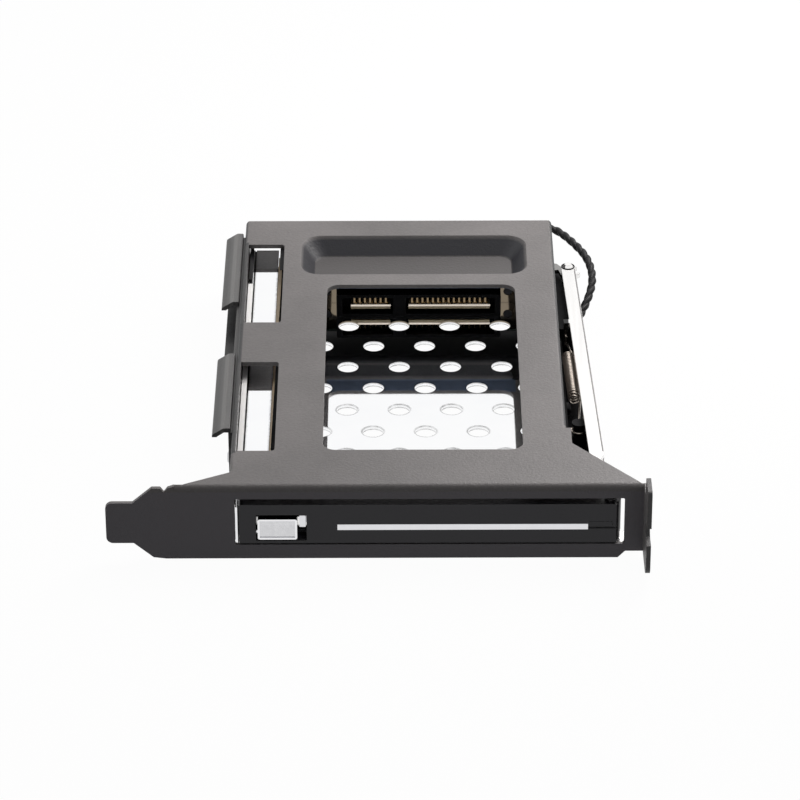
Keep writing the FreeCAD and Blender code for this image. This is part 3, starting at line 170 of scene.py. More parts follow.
def makeGrain():
    # fine speckle: height for a bump, roughness and shade that wander a little
    tree, inside, out = newGroup("fineGrain", surfaceInputs, surfaceOutputs)
    point = scaledPoint(tree)
    fine = addNode(tree, "ShaderNodeTexNoise", grain["fine"])
    broad = addNode(tree, "ShaderNodeTexNoise", grain["broad"])
    tree.links.new(point, fine.inputs["Vector"])
    tree.links.new(point, broad.inputs["Vector"])
    tree.links.new(inside.outputs["Scale"], fine.inputs["Scale"])
    tree.links.new(fine.outputs["Fac"], out.inputs["Height"])
    wanderRoughness(tree, inside, out, broad.outputs["Fac"])
    both = mathNode(tree, "MULTIPLY_ADD", fine.outputs["Fac"], grain["fineShare"], broad.outputs["Fac"])
    tree.links.new(rampNode(tree, both, *grain["shade"]), out.inputs["Shade"])
    return tree


millLines = {"noise": {"Detail": 5.0, "Roughness": 0.6}, "stretch": (40, 1, 40)}


def makeMillLines():
    # drawn lines along one direction, for strip and sheet straight from the mill
    tree, inside, out = newGroup("millLines", surfaceInputs, surfaceOutputs)
    lines = addNode(tree, "ShaderNodeTexNoise", millLines["noise"])
    tree.links.new(scaledPoint(tree, millLines["stretch"]), lines.inputs["Vector"])
    tree.links.new(inside.outputs["Scale"], lines.inputs["Scale"])
    for name in ("Height", "Shade"):
        tree.links.new(lines.outputs["Fac"], out.inputs[name])
    wanderRoughness(tree, inside, out, lines.outputs["Fac"])
    return tree


traces = {
    "Color1": (0, 0, 0, 1), "Color2": (0.3, 0.3, 0.3, 1), "Mortar": (1, 1, 1, 1), "Mortar Size": 0.04,
    "Mortar Smooth": 0.2, "Brick Width": 1.7, "Row Height": 0.55,
}


def makeTraces():
    # printed tracks under solder mask, with plain laminate between them
    tree, inside, out = newGroup("traceLines", surfaceInputs, surfaceOutputs)
    tracks = addNode(tree, "ShaderNodeTexBrick", traces)
    turned = addNode(tree, "ShaderNodeMapping", {"Rotation": (math.radians(90), 0, 0)})
    tree.links.new(scaledPoint(tree), turned.inputs["Vector"])
    tree.links.new(turned.outputs["Vector"], tracks.inputs["Vector"])
    tree.links.new(inside.outputs["Scale"], tracks.inputs["Scale"])
    level = addNode(tree, "ShaderNodeRGBToBW")
    tree.links.new(tracks.outputs["Color"], level.inputs["Color"])
    for name in ("Height", "Shade"):
        tree.links.new(level.outputs["Val"], out.inputs[name])
    wanderRoughness(tree, inside, out, level.outputs["Val"])
    return tree


paintedEdges = {
    # painted highlight and painted shade along edges: rim in metres and the fineness of its breaks; how
    # far the normals agree where the painted edge begins and is full; the range of the patches, and the
    # least that a patch leaves
    "inputs": {"Radius": 0.0004, "Break": 700.0}, "agree": (0.995, 0.85),
    "noise": {"Detail": 3.0}, "patches": (0.3, 0.7), "least": 0.35,
}


def makePaintedEdgeLight():
    # mask for painted highlight and shade along edges: where the rounded normal turns away from the face's
    # own
    tree, inside, out = newGroup("paintedEdgeLight", paintedEdges["inputs"], ["Mask"])
    rounded = addNode(tree, "ShaderNodeBevel", samples=bevelSamples)
    flat = addNode(tree, "ShaderNodeNewGeometry")
    facing = addNode(tree, "ShaderNodeVectorMath", operation="DOT_PRODUCT")
    patches = addNode(tree, "ShaderNodeTexNoise", paintedEdges["noise"])
    tree.links.new(inside.outputs["Radius"], rounded.inputs["Radius"])
    tree.links.new(rounded.outputs["Normal"], facing.inputs[0])
    tree.links.new(flat.outputs["Normal"], facing.inputs[1])
    tree.links.new(scaledPoint(tree), patches.inputs["Vector"])
    tree.links.new(inside.outputs["Break"], patches.inputs["Scale"])
    edge = rampNode(tree, facing.outputs["Value"], *paintedEdges["agree"])
    broken = rampNode(tree, patches.outputs["Fac"], *paintedEdges["patches"], paintedEdges["least"], 1.0)
    tree.links.new(mathNode(tree, "MULTIPLY", edge, broken), out.inputs["Mask"])
    return tree


uprightRange = (0.6, 0.4)  # upward part of a face's normal, from not yet upright to upright


def makeZoneMask():
    # mask inside a box in the frame's metres, and the same mask on upright faces only
    limits = {"%s %s" % (end, axis): 0.0 for axis in "XYZ" for end in ("Low", "High")}
    limits["Fade"] = 0.0003
    tree, inside, out = newGroup("zoneMask", limits, ["Mask", "Upright"])
    split = addNode(tree, "ShaderNodeSeparateXYZ")
    tree.links.new(scaledPoint(tree), split.inputs["Vector"])
    near = None
    for axis in "XYZ":
        above = mathNode(tree, "SUBTRACT", split.outputs[axis], inside.outputs["Low " + axis])
        below = mathNode(tree, "SUBTRACT", inside.outputs["High " + axis], split.outputs[axis])
        both = mathNode(tree, "MINIMUM", above, below)
        near = both if near is None else mathNode(tree, "MINIMUM", near, both)
    share = addNode(tree, "ShaderNodeMath", operation="DIVIDE", use_clamp=True)
    tree.links.new(near, share.inputs[0])
    tree.links.new(inside.outputs["Fade"], share.inputs[1])
    tree.links.new(share.outputs[0], out.inputs["Mask"])
    flat = addNode(tree, "ShaderNodeNewGeometry")
    way = addNode(tree, "ShaderNodeSeparateXYZ")
    tree.links.new(flat.outputs["True Normal"], way.inputs["Vector"])
    level = mathNode(tree, "ABSOLUTE", way.outputs["Z"])
    upright = rampNode(tree, level, *uprightRange)
    tree.links.new(mathNode(tree, "MULTIPLY", upright, share.outputs[0]), out.inputs["Upright"])
    return tree


groups = {"grain": makeGrain(), "lines": makeMillLines(), "traces": makeTraces()}
paintedEdgeLight = makePaintedEdgeLight()
zoneMask = makeZoneMask()

# low and high are the two shades, rough the middle of the roughness and wander its spread; bump is
# the depth in mm and scale the fineness of the pattern, soft the rounding of sharp edges in mm; edge is
# the colour painted along edges, then its strength and rim its width in mm: a painted highlight where
# it is lighter than the finish, painted shade where it is darker
finishes = {
    # painted and bare sheet
    "plate": dict(
        low=(0.086, 0.081, 0.080), high=(0.182, 0.171, 0.169), rough=0.47, wander=0.10, bump=0.09,
        scale=1500, soft=0.22, specular=0.40, edge=(0.26, 0.25, 0.245), edgeStrength=0.3,
    ),
    "door": dict(
        low=(0.012, 0.0115, 0.015), high=(0.022, 0.0205, 0.027), rough=0.33, wander=0.08, bump=0.02,
        scale=1500, soft=0.2, specular=0.34, edge=(0.10, 0.10, 0.10), edgeStrength=0.5,
    ),
    "rail": dict(
        low=(0.062, 0.061, 0.060), high=(0.104, 0.102, 0.100), rough=0.40, wander=0.10, bump=0.05,
        scale=1500, soft=0.2, edge=(0.26, 0.255, 0.25), edgeStrength=0.4,
    ),
    "tray": dict(
        low=(0.93, 0.935, 0.95), high=(0.97, 0.972, 0.975), rough=0.04, wander=0.03, bump=0.001,
        scale=160, metal=1.0, edge=(0.02, 0.018, 0.016), edgeStrength=1.0, rim=0.75,
    ),
    # moulded plastic, rubber and the board
    "black_plastic": dict(
        low=(0.004, 0.004, 0.005), high=(0.010, 0.010, 0.011), rough=0.45, wander=0.14, bump=0.03,
        scale=1100, soft=0.12, specular=0.04, edge=(0.05, 0.05, 0.05), edgeStrength=0.5,
    ),
    "cream_plastic": dict(
        low=(0.62, 0.50, 0.30), high=(0.74, 0.62, 0.42), rough=0.4, wander=0.1, bump=0.01,
        scale=900,
    ),
    "liner": dict(
        low=(0.004, 0.004, 0.005), high=(0.009, 0.009, 0.010), rough=0.6, wander=0.1, bump=0.02,
        scale=1100, specular=0.12,
    ),
    "rubber": dict(
        low=(0.008, 0.008, 0.009), high=(0.015, 0.015, 0.016), rough=0.75, wander=0.1, bump=0.03,
        scale=1400, specular=0.2,
    ),
    "board": dict(
        low=(0.008, 0.016, 0.012), high=(0.020, 0.040, 0.028), rough=0.34, wander=0.1, bump=0.01,
        scale=260, group="traces",
    ),
    "chip": dict(
        low=(0.012, 0.012, 0.013), high=(0.022, 0.022, 0.023), rough=0.5, wander=0.1, bump=0.01,
        scale=1400,
    ),
    "led": dict(
        low=(0.62, 0.70, 0.62), high=(0.74, 0.82, 0.74), rough=0.12, wander=0.05, bump=0.002,
        scale=500,
    ),
    "cable": dict(
        low=(0.005, 0.005, 0.006), high=(0.013, 0.013, 0.014), rough=0.5, wander=0.12, bump=0.01,
        scale=900, specular=0.14,
    ),
    # plated and bright metal
    "chrome": dict(
        low=(0.78, 0.78, 0.80), high=(0.88, 0.88, 0.89), rough=0.10, wander=0.06, bump=0.002,
        scale=300, metal=1.0,
    ),
    "cap": dict(
        low=(0.54, 0.54, 0.56), high=(0.74, 0.74, 0.75), rough=0.26, wander=0.12, bump=0.006,
        scale=28, metal=1.0, group="lines",
    ),
    "strip": dict(
        low=(0.70, 0.70, 0.72), high=(0.80, 0.80, 0.82), rough=0.30, wander=0.10, bump=0.01,
        scale=600, metal=1.0,
    ),
    "steel": dict(
        low=(0.86, 0.85, 0.84), high=(0.94, 0.93, 0.92), rough=0.18, wander=0.12, bump=0.006,
        scale=40, metal=1.0, group="lines", edge=(0.16, 0.15, 0.15), edgeStrength=0.85, rim=0.3,
    ),
    "spring": dict(
        low=(0.30, 0.26, 0.22), high=(0.50, 0.45, 0.40), rough=0.26, wander=0.12, bump=0.004,
        scale=900, metal=1.0,
    ),
    "rivet": dict(
        low=(0.5, 0.5, 0.51), high=(0.62, 0.62, 0.63), rough=0.3, wander=0.1, bump=0.01, scale=900,
        metal=1.0,
    ),
    "gold": dict(
        low=(0.62, 0.38, 0.13), high=(0.80, 0.54, 0.22), rough=0.24, wander=0.12, bump=0.006,
        scale=900, metal=1.0,
    ),
    "contactWire": dict(
        low=(0.20, 0.14, 0.08), high=(0.36, 0.27, 0.16), rough=0.3, wander=0.1, bump=0.004,
        scale=900, metal=1.0,
    ),
    "tongueLip": dict(
        low=(0.80, 0.70, 0.58), high=(0.90, 0.82, 0.72), rough=0.3, wander=0.1, bump=0.004,
        scale=900, metal=1.0,
    ),
    # trims laid on the solids
    "paleStrip": dict(
        low=(0.94, 0.94, 0.93), high=(0.99, 0.99, 0.98), rough=0.7, wander=0.1, bump=0.02,
        scale=900,
    ),
    "tape": dict(
        low=(0.30, 0.22, 0.13), high=(0.52, 0.41, 0.27), rough=0.45, wander=0.1, bump=0.01,
        scale=500,
    ),
    # painted shade on the pull link's rolled edge
    "linkEdgeShade": dict(
        low=(0.14, 0.135, 0.135), high=(0.20, 0.195, 0.195), rough=0.5, wander=0.1, bump=0.004,
        scale=600,
    ),
}

# stretches of a finish in another colour, most of them painted shade and painted light: a box in bracket
# coordinates, its colour and how far it fades in, in mm; upright ones colour only the faces that stand up
zones = {
    "plate": [
        # painted shade on the left wall, seen through the cut-outs
        dict(x=(20, 28.35), y=(14.5, 116), z=(14.5, 20), colour=(0.012, 0.012, 0.013), fade=0.3),
        # painted shade on the walls of the recess, then on its floor
        dict(x=(40.9, 95.6), y=(98.9, 119.7), z=(12, 18.35), colour=(0.010, 0.010, 0.014), fade=0.7),
        dict(x=(44, 92.6), y=(98.9, 117), z=(14.2, 14.8), colour=(0.060, 0.056, 0.056), fade=0.15),
        # painted shade on the rounded rims of the top plate at the right and the left, then on the left
        # one beside each cut-out
        dict(x=(101.45, 104), y=(26.5, 130), z=(16.0, 20), colour=(0.016, 0.016, 0.017), fade=0.4),
        dict(x=(20, 27.85), y=(16.5, 130), z=(16.0, 20), colour=(0.016, 0.016, 0.017), fade=0.4),
        dict(x=(20, 28.6), y=(15.5, 56.2), z=(17.0, 20), colour=(0.032, 0.031, 0.031), fade=0.2),
        dict(x=(20, 28.6), y=(75.0, 114.9), z=(17.0, 20), colour=(0.032, 0.031, 0.031), fade=0.2),
        # painted shade on the screw flange, then painted light on the bracket face, a little lighter and
        # bluer than the rest of the plate
        dict(x=(118.3, 121), y=(-12, -0.6), z=(-1, 24), colour=(0.036, 0.035, 0.036), fade=0.3),
        dict(x=(-1, 118.6), y=(-0.6, 0.4), z=(-1, 17.2), colour=(0.160, 0.151, 0.170), fade=0.5),
        # painted reflection: the underside behind the window in a bluish tint, which the tray mirrors
        dict(x=(47, 93), y=(93.0, 99.4), z=(17.2, 17.65), colour=(0.10, 0.13, 0.19), fade=0.1),
    ],
    "tray": [
        # painted shade, dark and brownish, on the rear tab under the connector, and on its bend
        dict(
            x=(28, 101.5), y=(100, 120), z=(2.9, 11.2), colour=(0.20, 0.165, 0.12), fade=0.4, upright=True,
        ),
        dict(x=(28, 101.5), y=(111, 120), z=(9.8, 11.4), colour=(0.16, 0.13, 0.09), fade=0.2),
        # seam in the left flange
        dict(x=(29.56, 30.02), y=(5, 120), z=(14.1, 14.9), colour=(0.015, 0.015, 0.015), fade=0.05),
    ],
    "rail": [
        # painted shade on the foot, the outer third and the inner side, and a painted highlight on the
        # ridge
        dict(x=(15, 28), y=(0, 130), z=(2, 12.5), colour=(0.016, 0.016, 0.017), fade=1.0),
        dict(x=(20, 24.4), y=(20, 130), z=(12.5, 20), colour=(0.040, 0.039, 0.038), fade=0.9),
        dict(x=(24.3, 25.5), y=(20, 130), z=(15, 20), colour=(0.165, 0.162, 0.158), fade=0.35),
        dict(x=(26.1, 28.4), y=(20, 130), z=(12.5, 20), colour=(0.030, 0.029, 0.029), fade=0.4),
    ],
    "steel": [
        # lever tip, then the tab that holds the spring
        dict(x=(94, 104.4), y=(100, 114), z=(12.4, 13.75), colour=(0.30, 0.295, 0.29), fade=0.15),
        dict(x=(102.4, 104.9), y=(80, 84.5), z=(8.5, 15.2), colour=(0.03, 0.03, 0.03), fade=0.15),
    ],
}


mixEnds, mixOut = (6, 7), 2  # the colour sockets of a Mix node


def blendColour(tree, first, second, share):
    # a mix of two colours, which are sockets or plain values
    mix = addNode(tree, "ShaderNodeMix", data_type="RGBA")
    for index, value in zip(mixEnds, (first, second)):
        if isinstance(value, tuple):
            mix.inputs[index].default_value = value
        else:
            tree.links.new(value, mix.inputs[index])
    tree.links.new(share, mix.inputs["Factor"])
    return mix.outputs[mixOut]


def makeFinish(name, low, high, rough, wander, bump, scale, metal=0.0, soft=0.0, specular=0.5,
               group="grain", edge=None, edgeStrength=0.0, rim=0.4):
    # one material: shades and roughness from its group, painted edge highlight and shade and the zones
    # over them, then the bump
    material = bpy.data.materials.new(name)
    material.use_nodes = True
    tree = material.node_tree
    tree.nodes.clear()
    output = addNode(tree, "ShaderNodeOutputMaterial")
    shader = addNode(tree, "ShaderNodeBsdfPrincipled", {"Metallic": metal, "Specular IOR Level": specular})
    tree.links.new(shader.outputs[0], output.inputs["Surface"])
    effect = addNode(tree, "ShaderNodeGroup", node_tree=groups[group])
    for label, value in (("Scale", scale), ("Rough", rough), ("Wander", wander)):
        effect.inputs[label].default_value = value
    tree.links.new(effect.outputs["Roughness"], shader.inputs["Roughness"])
    colour = blendColour(tree, (*low, 1), (*high, 1), effect.outputs["Shade"])
    # painted highlight along the edges where the edge colour is lighter than the finish, painted shade
    # where it is darker
    if edge:
        edgePainter = addNode(tree, "ShaderNodeGroup", node_tree=paintedEdgeLight)
        edgePainter.inputs["Radius"].default_value = rim * mm
        edgeShare = mathNode(tree, "MULTIPLY", edgePainter.outputs["Mask"], edgeStrength)
        colour = blendColour(tree, colour, (*edge, 1), edgeShare)
    for zone in zones.get(name, []):
        area = addNode(tree, "ShaderNodeGroup", node_tree=zoneMask)
        for index, axis in enumerate("xyz"):
            for end, value in zip(("Low", "High"), zone[axis]):
                area.inputs["%s %s" % (end, axis.upper())].default_value = (value - origin[index]) * mm
        area.inputs["Fade"].default_value = zone["fade"] * mm
        mask = area.outputs["Upright" if zone.get("upright") else "Mask"]
        colour = blendColour(tree, colour, (*zone["colour"], 1), mask)
    tree.links.new(colour, shader.inputs["Base Color"])
    relief = addNode(tree, "ShaderNodeBump", {"Strength": 1.0, "Distance": bump * mm})
    tree.links.new(effect.outputs["Height"], relief.inputs["Height"])
    if soft:
        rounded = addNode(tree, "ShaderNodeBevel", {"Radius": soft * mm}, samples=bevelSamples)
        tree.links.new(rounded.outputs["Normal"], relief.inputs["Normal"])
    tree.links.new(relief.outputs["Normal"], shader.inputs["Normal"])
    return material


materials = {name: makeFinish(name, **values) for name, values in finishes.items()}
# each solid wears the finish of its slot
for part in frame["record"]["subparts"]:
    solid = frame["nodes"][part["node"]]
    solid.data.materials.clear()
    solid.data.materials.append(materials[part["material_slot"]])
print("finishes made:", len(materials))


cable = {
    # from the rear header, round the loop at the rear right, then forward to the light's socket
    "route": [
        (95.9, 120.4, 8.8), (95.9, 124.54, 8.8), (92.12, 131.1, 9.7), (93.49, 136.22, 10.5),
        (98.08, 138.87, 11.0), (103.2, 137.5, 11.1), (107.0, 131.9, 10.9), (111.2, 123.7, 10.1),
        (112.35, 115.2, 8.6), (110.6, 107.8, 6.4), (107.7, 101.2, 4.3), (106.4, 95.0, 2.8),
        (106.0, 64.0, 2.6), (106.2, 36.5, 2.8), (103.75, 28.5, 3.4), (103.75, 20.0, 3.4),
    ],
    # radius of a strand, its distance from the middle, the length of one twist and of one step along
    # the route, in mm; then the whole cord's length and width in metres
    "strand": 0.76, "offset": 0.26, "pitch": 6.0, "step": 0.3, "sides": 10,
    "length": 0.1484, "width": 0.0019,
}


curveSteps = 24  # points of the smooth line between two points of the route


def splinePoints(points, step):
    # the route's own smooth line, as evenly spaced points
    curve = bpy.data.curves.new("routeLine", "CURVE")
    curve.dimensions = "3D"
    curve.resolution_u = curveSteps
    spline = curve.splines.new("NURBS")
    spline.points.add(len(points) - 1)
    for control, place in zip(spline.points, points):
        control.co = (*at(*place), 1)
    spline.order_u = 3
    spline.use_endpoint_u = True
    holder = bpy.data.objects.new("routeLine", curve)
    scene.collection.objects.link(holder)
    bpy.context.view_layer.update()
    line = bpy.data.meshes.new_from_object(holder)
    dense = [v.co.copy() for v in line.vertices]
    bpy.data.objects.remove(holder)
    bpy.data.meshes.remove(line)
    even = [dense[0]]
    left = step * mm
    for start, end in zip(dense, dense[1:]):
        gone = 0
        length = (end - start).length
        while length - gone >= left:
            gone += left
            even.append(start.lerp(end, gone / length))
            left = step * mm
        left -= length - gone
    even.append(dense[-1])
    return even


def sidesAlong(points):
    # each point of a line with two directions across it, which turn as little as they can
    side = None
    for index, place in enumerate(points):
        ahead = points[min(index + 1, len(points) - 1)] - points[max(index - 1, 0)]
        ahead.normalize()
        if side is None:
            side = ahead.orthogonal().normalized()
        side = (side - ahead * side.dot(ahead)).normalized()
        yield place, side, ahead.cross(side)


def tube(path, radius, sides):
    # a round wire along a line, closed at both ends
    vertices, faces = [], []
    for place, side, up in sidesAlong(path):
        for k in range(sides):
            angle = 2 * math.pi * k / sides
            vertices.append(place + (side * math.cos(angle) + up * math.sin(angle)) * radius)
    rings = len(path)
    for ring in range(rings - 1):
        for k in range(sides):
            a, b = ring * sides + k, ring * sides + (k + 1) % sides
            faces.append((a, b, b + sides, a + sides))
    faces.append(tuple(reversed(range(sides))))
    faces.append(tuple((rings - 1) * sides + k for k in range(sides)))
    return vertices, faces


def joinShapes(name, shapes):
    # several closed shapes in one mesh
    vertices, faces = [], []
    for points, loops in shapes:
        base = len(vertices)
        vertices += points
        faces += [tuple(base + k for k in loop) for loop in loops]
    return meshFrom(name, vertices, faces)


def makeCable():
    # two strands twisted round the route
    middle = splinePoints(cable["route"], cable["step"])
    strands = []
    for phase in (0, math.pi):
        line = []
        for index, (place, side, up) in enumerate(sidesAlong(middle)):
            angle = phase + 2 * math.pi * index * cable["step"] / cable["pitch"]
            line.append(place + (side * math.cos(angle) + up * math.sin(angle)) * cable["offset"] * mm)
        strands.append(tube(line, cable["strand"] * mm, cable["sides"]))
    piece = newObject("twistedCable", joinShapes("twistedCable", strands), materials["cable"])
    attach(piece, "cage")
    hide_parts("signal_cable")
    tuple(middle[0])
    [tuple(p) for p in middle]


makeCable()
print("cable made")


link = {
    # the pull link's rivet, lean in degrees and top; the section of its rolled edge across and up from
    # there, and the edge's ends, for a grey strip of painted shade; the ring of painted shade in the gap
    # round the rivet's head
    "rivet": (105.7, 109.8), "lean": 2.0, "top": 14.9,
    "edge": ((1.66, -0.3), (1.58, 0.02), (1.32, 0.03), (1.26, -0.05)), "ends": (-89.0, -1.5),
    "edgeSteps": 30, "ring": 1.52, "ringWire": 0.13, "ringShift": -0.12, "ringLift": 0.05,
}


def onLink(across, along, height):
    # from the link's own directions at its rivet to the frame in metres
    lean = math.radians(link["lean"])
    cosine, sine = math.cos(lean), math.sin(lean)
    x, y = link["rivet"]
    return at(x + across * cosine - along * sine, y + across * sine + along * cosine, height)


turnSteps, wireSides = 16, 8  # straight lengths in one turn of any coil, and flats round its wire

coil = {
    # the ejector's return spring, all along the link from its rivet; keep is the share of its length
    # left when the door is open
    "across": -2.55, "height": 10.6, "post": -71.8, "tab": -27.8, "keep": 0.807,
    "front": -54.9, "back": -37.0, "round": 1.22, "wire": 0.26, "turns": 26,
    "looseTurns": 3, "looseReach": 3.6, "looseBend": 1.3,
    "frontEye": 1.75, "rearEye": 1.4, "eyeSweep": 300, "eyeSteps": 24,
}


def springLine():
    # hook round the post, then the coil, then the hook through the link's tab
    line = []
    for k in range(coil["eyeSteps"] + 1):
        angle = math.radians(90 - coil["eyeSweep"] * (1 - k / coil["eyeSteps"]))
        along = coil["post"] + coil["frontEye"] * math.sin(angle)
        line.append((coil["frontEye"] * math.cos(angle), along, 0))
    loose, close = coil["looseTurns"] * turnSteps, coil["turns"] * turnSteps
    for k in range(loose + close + 1):
        angle = 2 * math.pi * k / turnSteps
        if k < loose:
            along = coil["front"] - coil["looseReach"] * (1 - k / loose) ** coil["looseBend"]
        else:
            along = coil["front"] + (coil["back"] - coil["front"]) * (k - loose) / close
        line.append((coil["round"] * math.cos(angle), along, coil["round"] * math.sin(angle)))
    for k in range(coil["eyeSteps"] + 1):
        angle = math.radians(-90 - coil["eyeSweep"] * k / coil["eyeSteps"])
        along = coil["tab"] - coil["rearEye"] + coil["rearEye"] * math.sin(angle)
        line.append((0, along, coil["rearEye"] * math.cos(angle)))
    return line


def makeSpring():
    path = [onLink(coil["across"] + x, y, coil["height"] + z) for x, y, z in springLine()]
    vertices, faces = tube(path, coil["wire"] * mm, wireSides)
    piece = newObject("ejectCoil", meshFrom("ejectCoil", vertices, faces), materials["spring"])
    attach(piece, "cage")
    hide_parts("eject_spring")
    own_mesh(piece)


makeSpring()
print("spring made")


doorCoils = {
    # what each stands for and what presses it by how much; radius, wire and turns; then the fixed and
    # the moving end of each coil
    "buttonCoils": dict(
        stands="button_springs", joint="button_press", travel=1.2, radius=0.52, wire=0.11, turns=4,
        ends=[((35.4, 4.2, 5.5), (35.4, 2.3, 5.5)), ((40.4, 4.2, 5.5), (40.4, 2.3, 5.5))],
    ),
    "latchCoil": dict(
        stands="latch_spring", joint="latch_slide", travel=1.2, radius=0.66, wire=0.13, turns=7,
        ends=[((50.0, 3.175, 7.45), (46.4, 3.175, 7.45))],
    ),
}

endGap = 1.1  # from the end of a pressed coil to the middle of its wire, in wire radii


def coilLine(start, stop, radius, wire, turns):
    # a coil between two ends, with the last half turn at each end laid flat
    way = (stop - start).normalized()
    side = way.orthogonal().normalized()
    up = way.cross(side)
    seat = endGap * wire * mm
    reach = (stop - start).length - 2 * seat
    half = turnSteps // 2
    line = []
    for k in range((turns + 1) * turnSteps + 1):
        angle = 2 * math.pi * k / turnSteps
        share = min(max((k - half) / (turns * turnSteps), 0), 1)
        spot = start + way * (seat + reach * share)
        line.append(spot + (side * math.cos(angle) + up * math.sin(angle)) * radius * mm)
    return line


def makeCoils(name, stands, joint, travel, radius, wire, turns, ends):
    # pressed coils, made between their two ends
    places = [(at(*fixed), at(*moving)) for fixed, moving in ends]
    wires = [tube(coilLine(*place, radius, wire, turns), wire * mm, wireSides) for place in places]
    piece = newObject(name, joinShapes(name, wires), materials["spring"])
    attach(piece, "door")
    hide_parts(stands)
    start, stop = places[0]
    tuple(start)
    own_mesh(piece)


for name, values in doorCoils.items():
    makeCoils(name, **values)
print("door coils made:", len(doorCoils))


trims = {
    # thin strips: finish, slot and body, how far each reaches in mm, and how much it waves up and down
    "wingStrip": dict(
        finish="paleStrip", slot="strip", body="cage",
        x=(28.4, 29.58), y=(12.0, 101.4), z=(14.72, 14.86), bend=0.04,
    ),
    "slitPlate": dict(
        finish="chrome", slot="chrome", body="cage", x=(28.32, 29.25), y=(5.0, 5.25), z=(3.9, 14.6),
    ),
    "edgeTrim": dict(
        finish="chrome", slot="chrome", body="door", x=(28.5, 28.98), y=(0.25, 0.5), z=(3.95, 13.0),
    ),
    "slitShade": dict(
        finish="liner", slot="liner", body="door", x=(29.0, 29.28), y=(0.22, 0.5), z=(3.9, 14.7),
    ),
    # painted shade: a near-black strip under the top plate at the right edge of the rear cut-out
    "cutShadeStrip": dict(
        finish="liner", slot="liner", body="cage", x=(35.9, 36.95), y=(103.5, 114.75), z=(17.36, 17.49),
    ),
    "stripTail": dict(
        finish="door", slot="door", body="door", x=(106.4, 111.6), y=(0.12, 0.24), z=(7.95, 9.15),
    ),
}

trimShape = {
    # cuts along a strip; its wave in radians per metre and at the frame's middle; edges that turn by
    # more than sharp, in radians, are rounded by a share of the strip's thickness in some steps
    "cuts": 24, "rate": 190, "start": 1.3, "sharp": 1, "round": 0.25, "roundSteps": 2,
}


def makeTrim(name, finish, slot, body, x, y, z, bend=0.0):
    # a strip in short lengths with rounded corners
    mesh = bpy.data.meshes.new(name)
    build = bmesh.new()
    bmesh.ops.create_cube(build, size=1)
    size = [high - low for low, high in (x, y, z)]
    middle = [(high + low) / 2 for low, high in (x, y, z)]
    for corner in build.verts:
        corner.co = at(*[middle[k] + corner.co[k] * size[k] for k in range(3)])
    long = max(range(3), key=lambda k: size[k])
    # only the edges along the strip are cut, so that it can wave
    runs = [e for e in build.edges if abs((e.verts[0].co - e.verts[1].co)[long]) > size[long] * mm / 2]
    bmesh.ops.subdivide_edges(build, edges=runs, cuts=trimShape["cuts"], use_grid_fill=True)
    for vertex in build.verts:
        phase = vertex.co[long] * trimShape["rate"] + trimShape["start"]
        vertex.co[2] += math.sin(phase) * bend * mm
    sharp = [e for e in build.edges if len(e.link_faces) == 2 and e.calc_face_angle() > trimShape["sharp"]]
    rounding = min(size) * trimShape["round"] * mm
    bmesh.ops.bevel(build, geom=sharp, offset=rounding, segments=trimShape["roundSteps"], affect="EDGES")
    bmesh.ops.recalc_face_normals(build, faces=build.faces)
    build.to_mesh(mesh)
    build.free()
    piece = newObject(name, mesh, materials[finish], smooth=False)
    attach(piece, body)


for name, values in trims.items():
    makeTrim(name, **values)
print("strips made:", len(trims))


folds = {
    # thin sheets: how far across in mm at the front, and wide at the back, with a line of depths and
    # heights; a near-black sheet of painted shade behind the recess, a near-black sheet on the tray and
    # tape on the flange's inner edge
    # painted shade: a near-black sheet behind the recess
    "scoopShade": dict(
        finish="liner", slot="liner", across=(41.6, 94.9), thick=0.12,
        line=[(98.9, 17.35), (99.6, 16.9), (102.6, 13.45), (103.4, 13.2), (118.6, 13.2)],
    ),
    # a near-black sheet that darkens the tray's floor along its left side and up its rear wall
    "trayDarkSheet": dict(
        finish="liner", slot="liner", across=(29.6, 38.4), thick=0.12,
        line=[
            (12.0, 3.62), (40.0, 3.56), (75.0, 3.60), (111.0, 3.56), (111.7, 3.9), (112.1, 4.6),
            (112.2, 13.6),
        ],
    ),
    "edgeTape": dict(
        finish="tape", slot="cream_plastic", across=(35.45, 35.72), wide=(35.45, 36.35), thick=0.10,
        line=[(12.0, 14.15), (40.0, 14.12), (56.0, 14.14), (75.0, 14.1), (90.0, 14.12), (116.0, 14.1)],
    ),
}


def stripFaces(count):
    # the outward faces of a closed strip with four corners at each of its stations
    faces = []
    for index in range(count - 1):
        for k in range(4):
            a, b = index * 4 + k, index * 4 + (k + 1) % 4
            faces.append((a, a + 4, b + 4, b))
    last = (count - 1) * 4
    return faces + [(0, 1, 2, 3), (last + 3, last + 2, last + 1, last)]


def makeFold(name, finish, slot, across, thick, line, wide=None):
    # a thin sheet, bent along its line
    vertices = []
    wide = wide or across
    for index, (y, z) in enumerate(line):
        share = index / (len(line) - 1)
        left, right = (across[k] + (wide[k] - across[k]) * share for k in (0, 1))
        for x, height in ((left, z), (right, z), (right, z + thick), (left, z + thick)):
            vertices.append(at(x, y, height))
    mesh = meshFrom(name, vertices, stripFaces(len(line)))
    piece = newObject(name, mesh, materials[finish], smooth=False)
    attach(piece, "cage")


for name, values in folds.items():
    makeFold(name, **values)
print("folded sheets made:", len(folds))


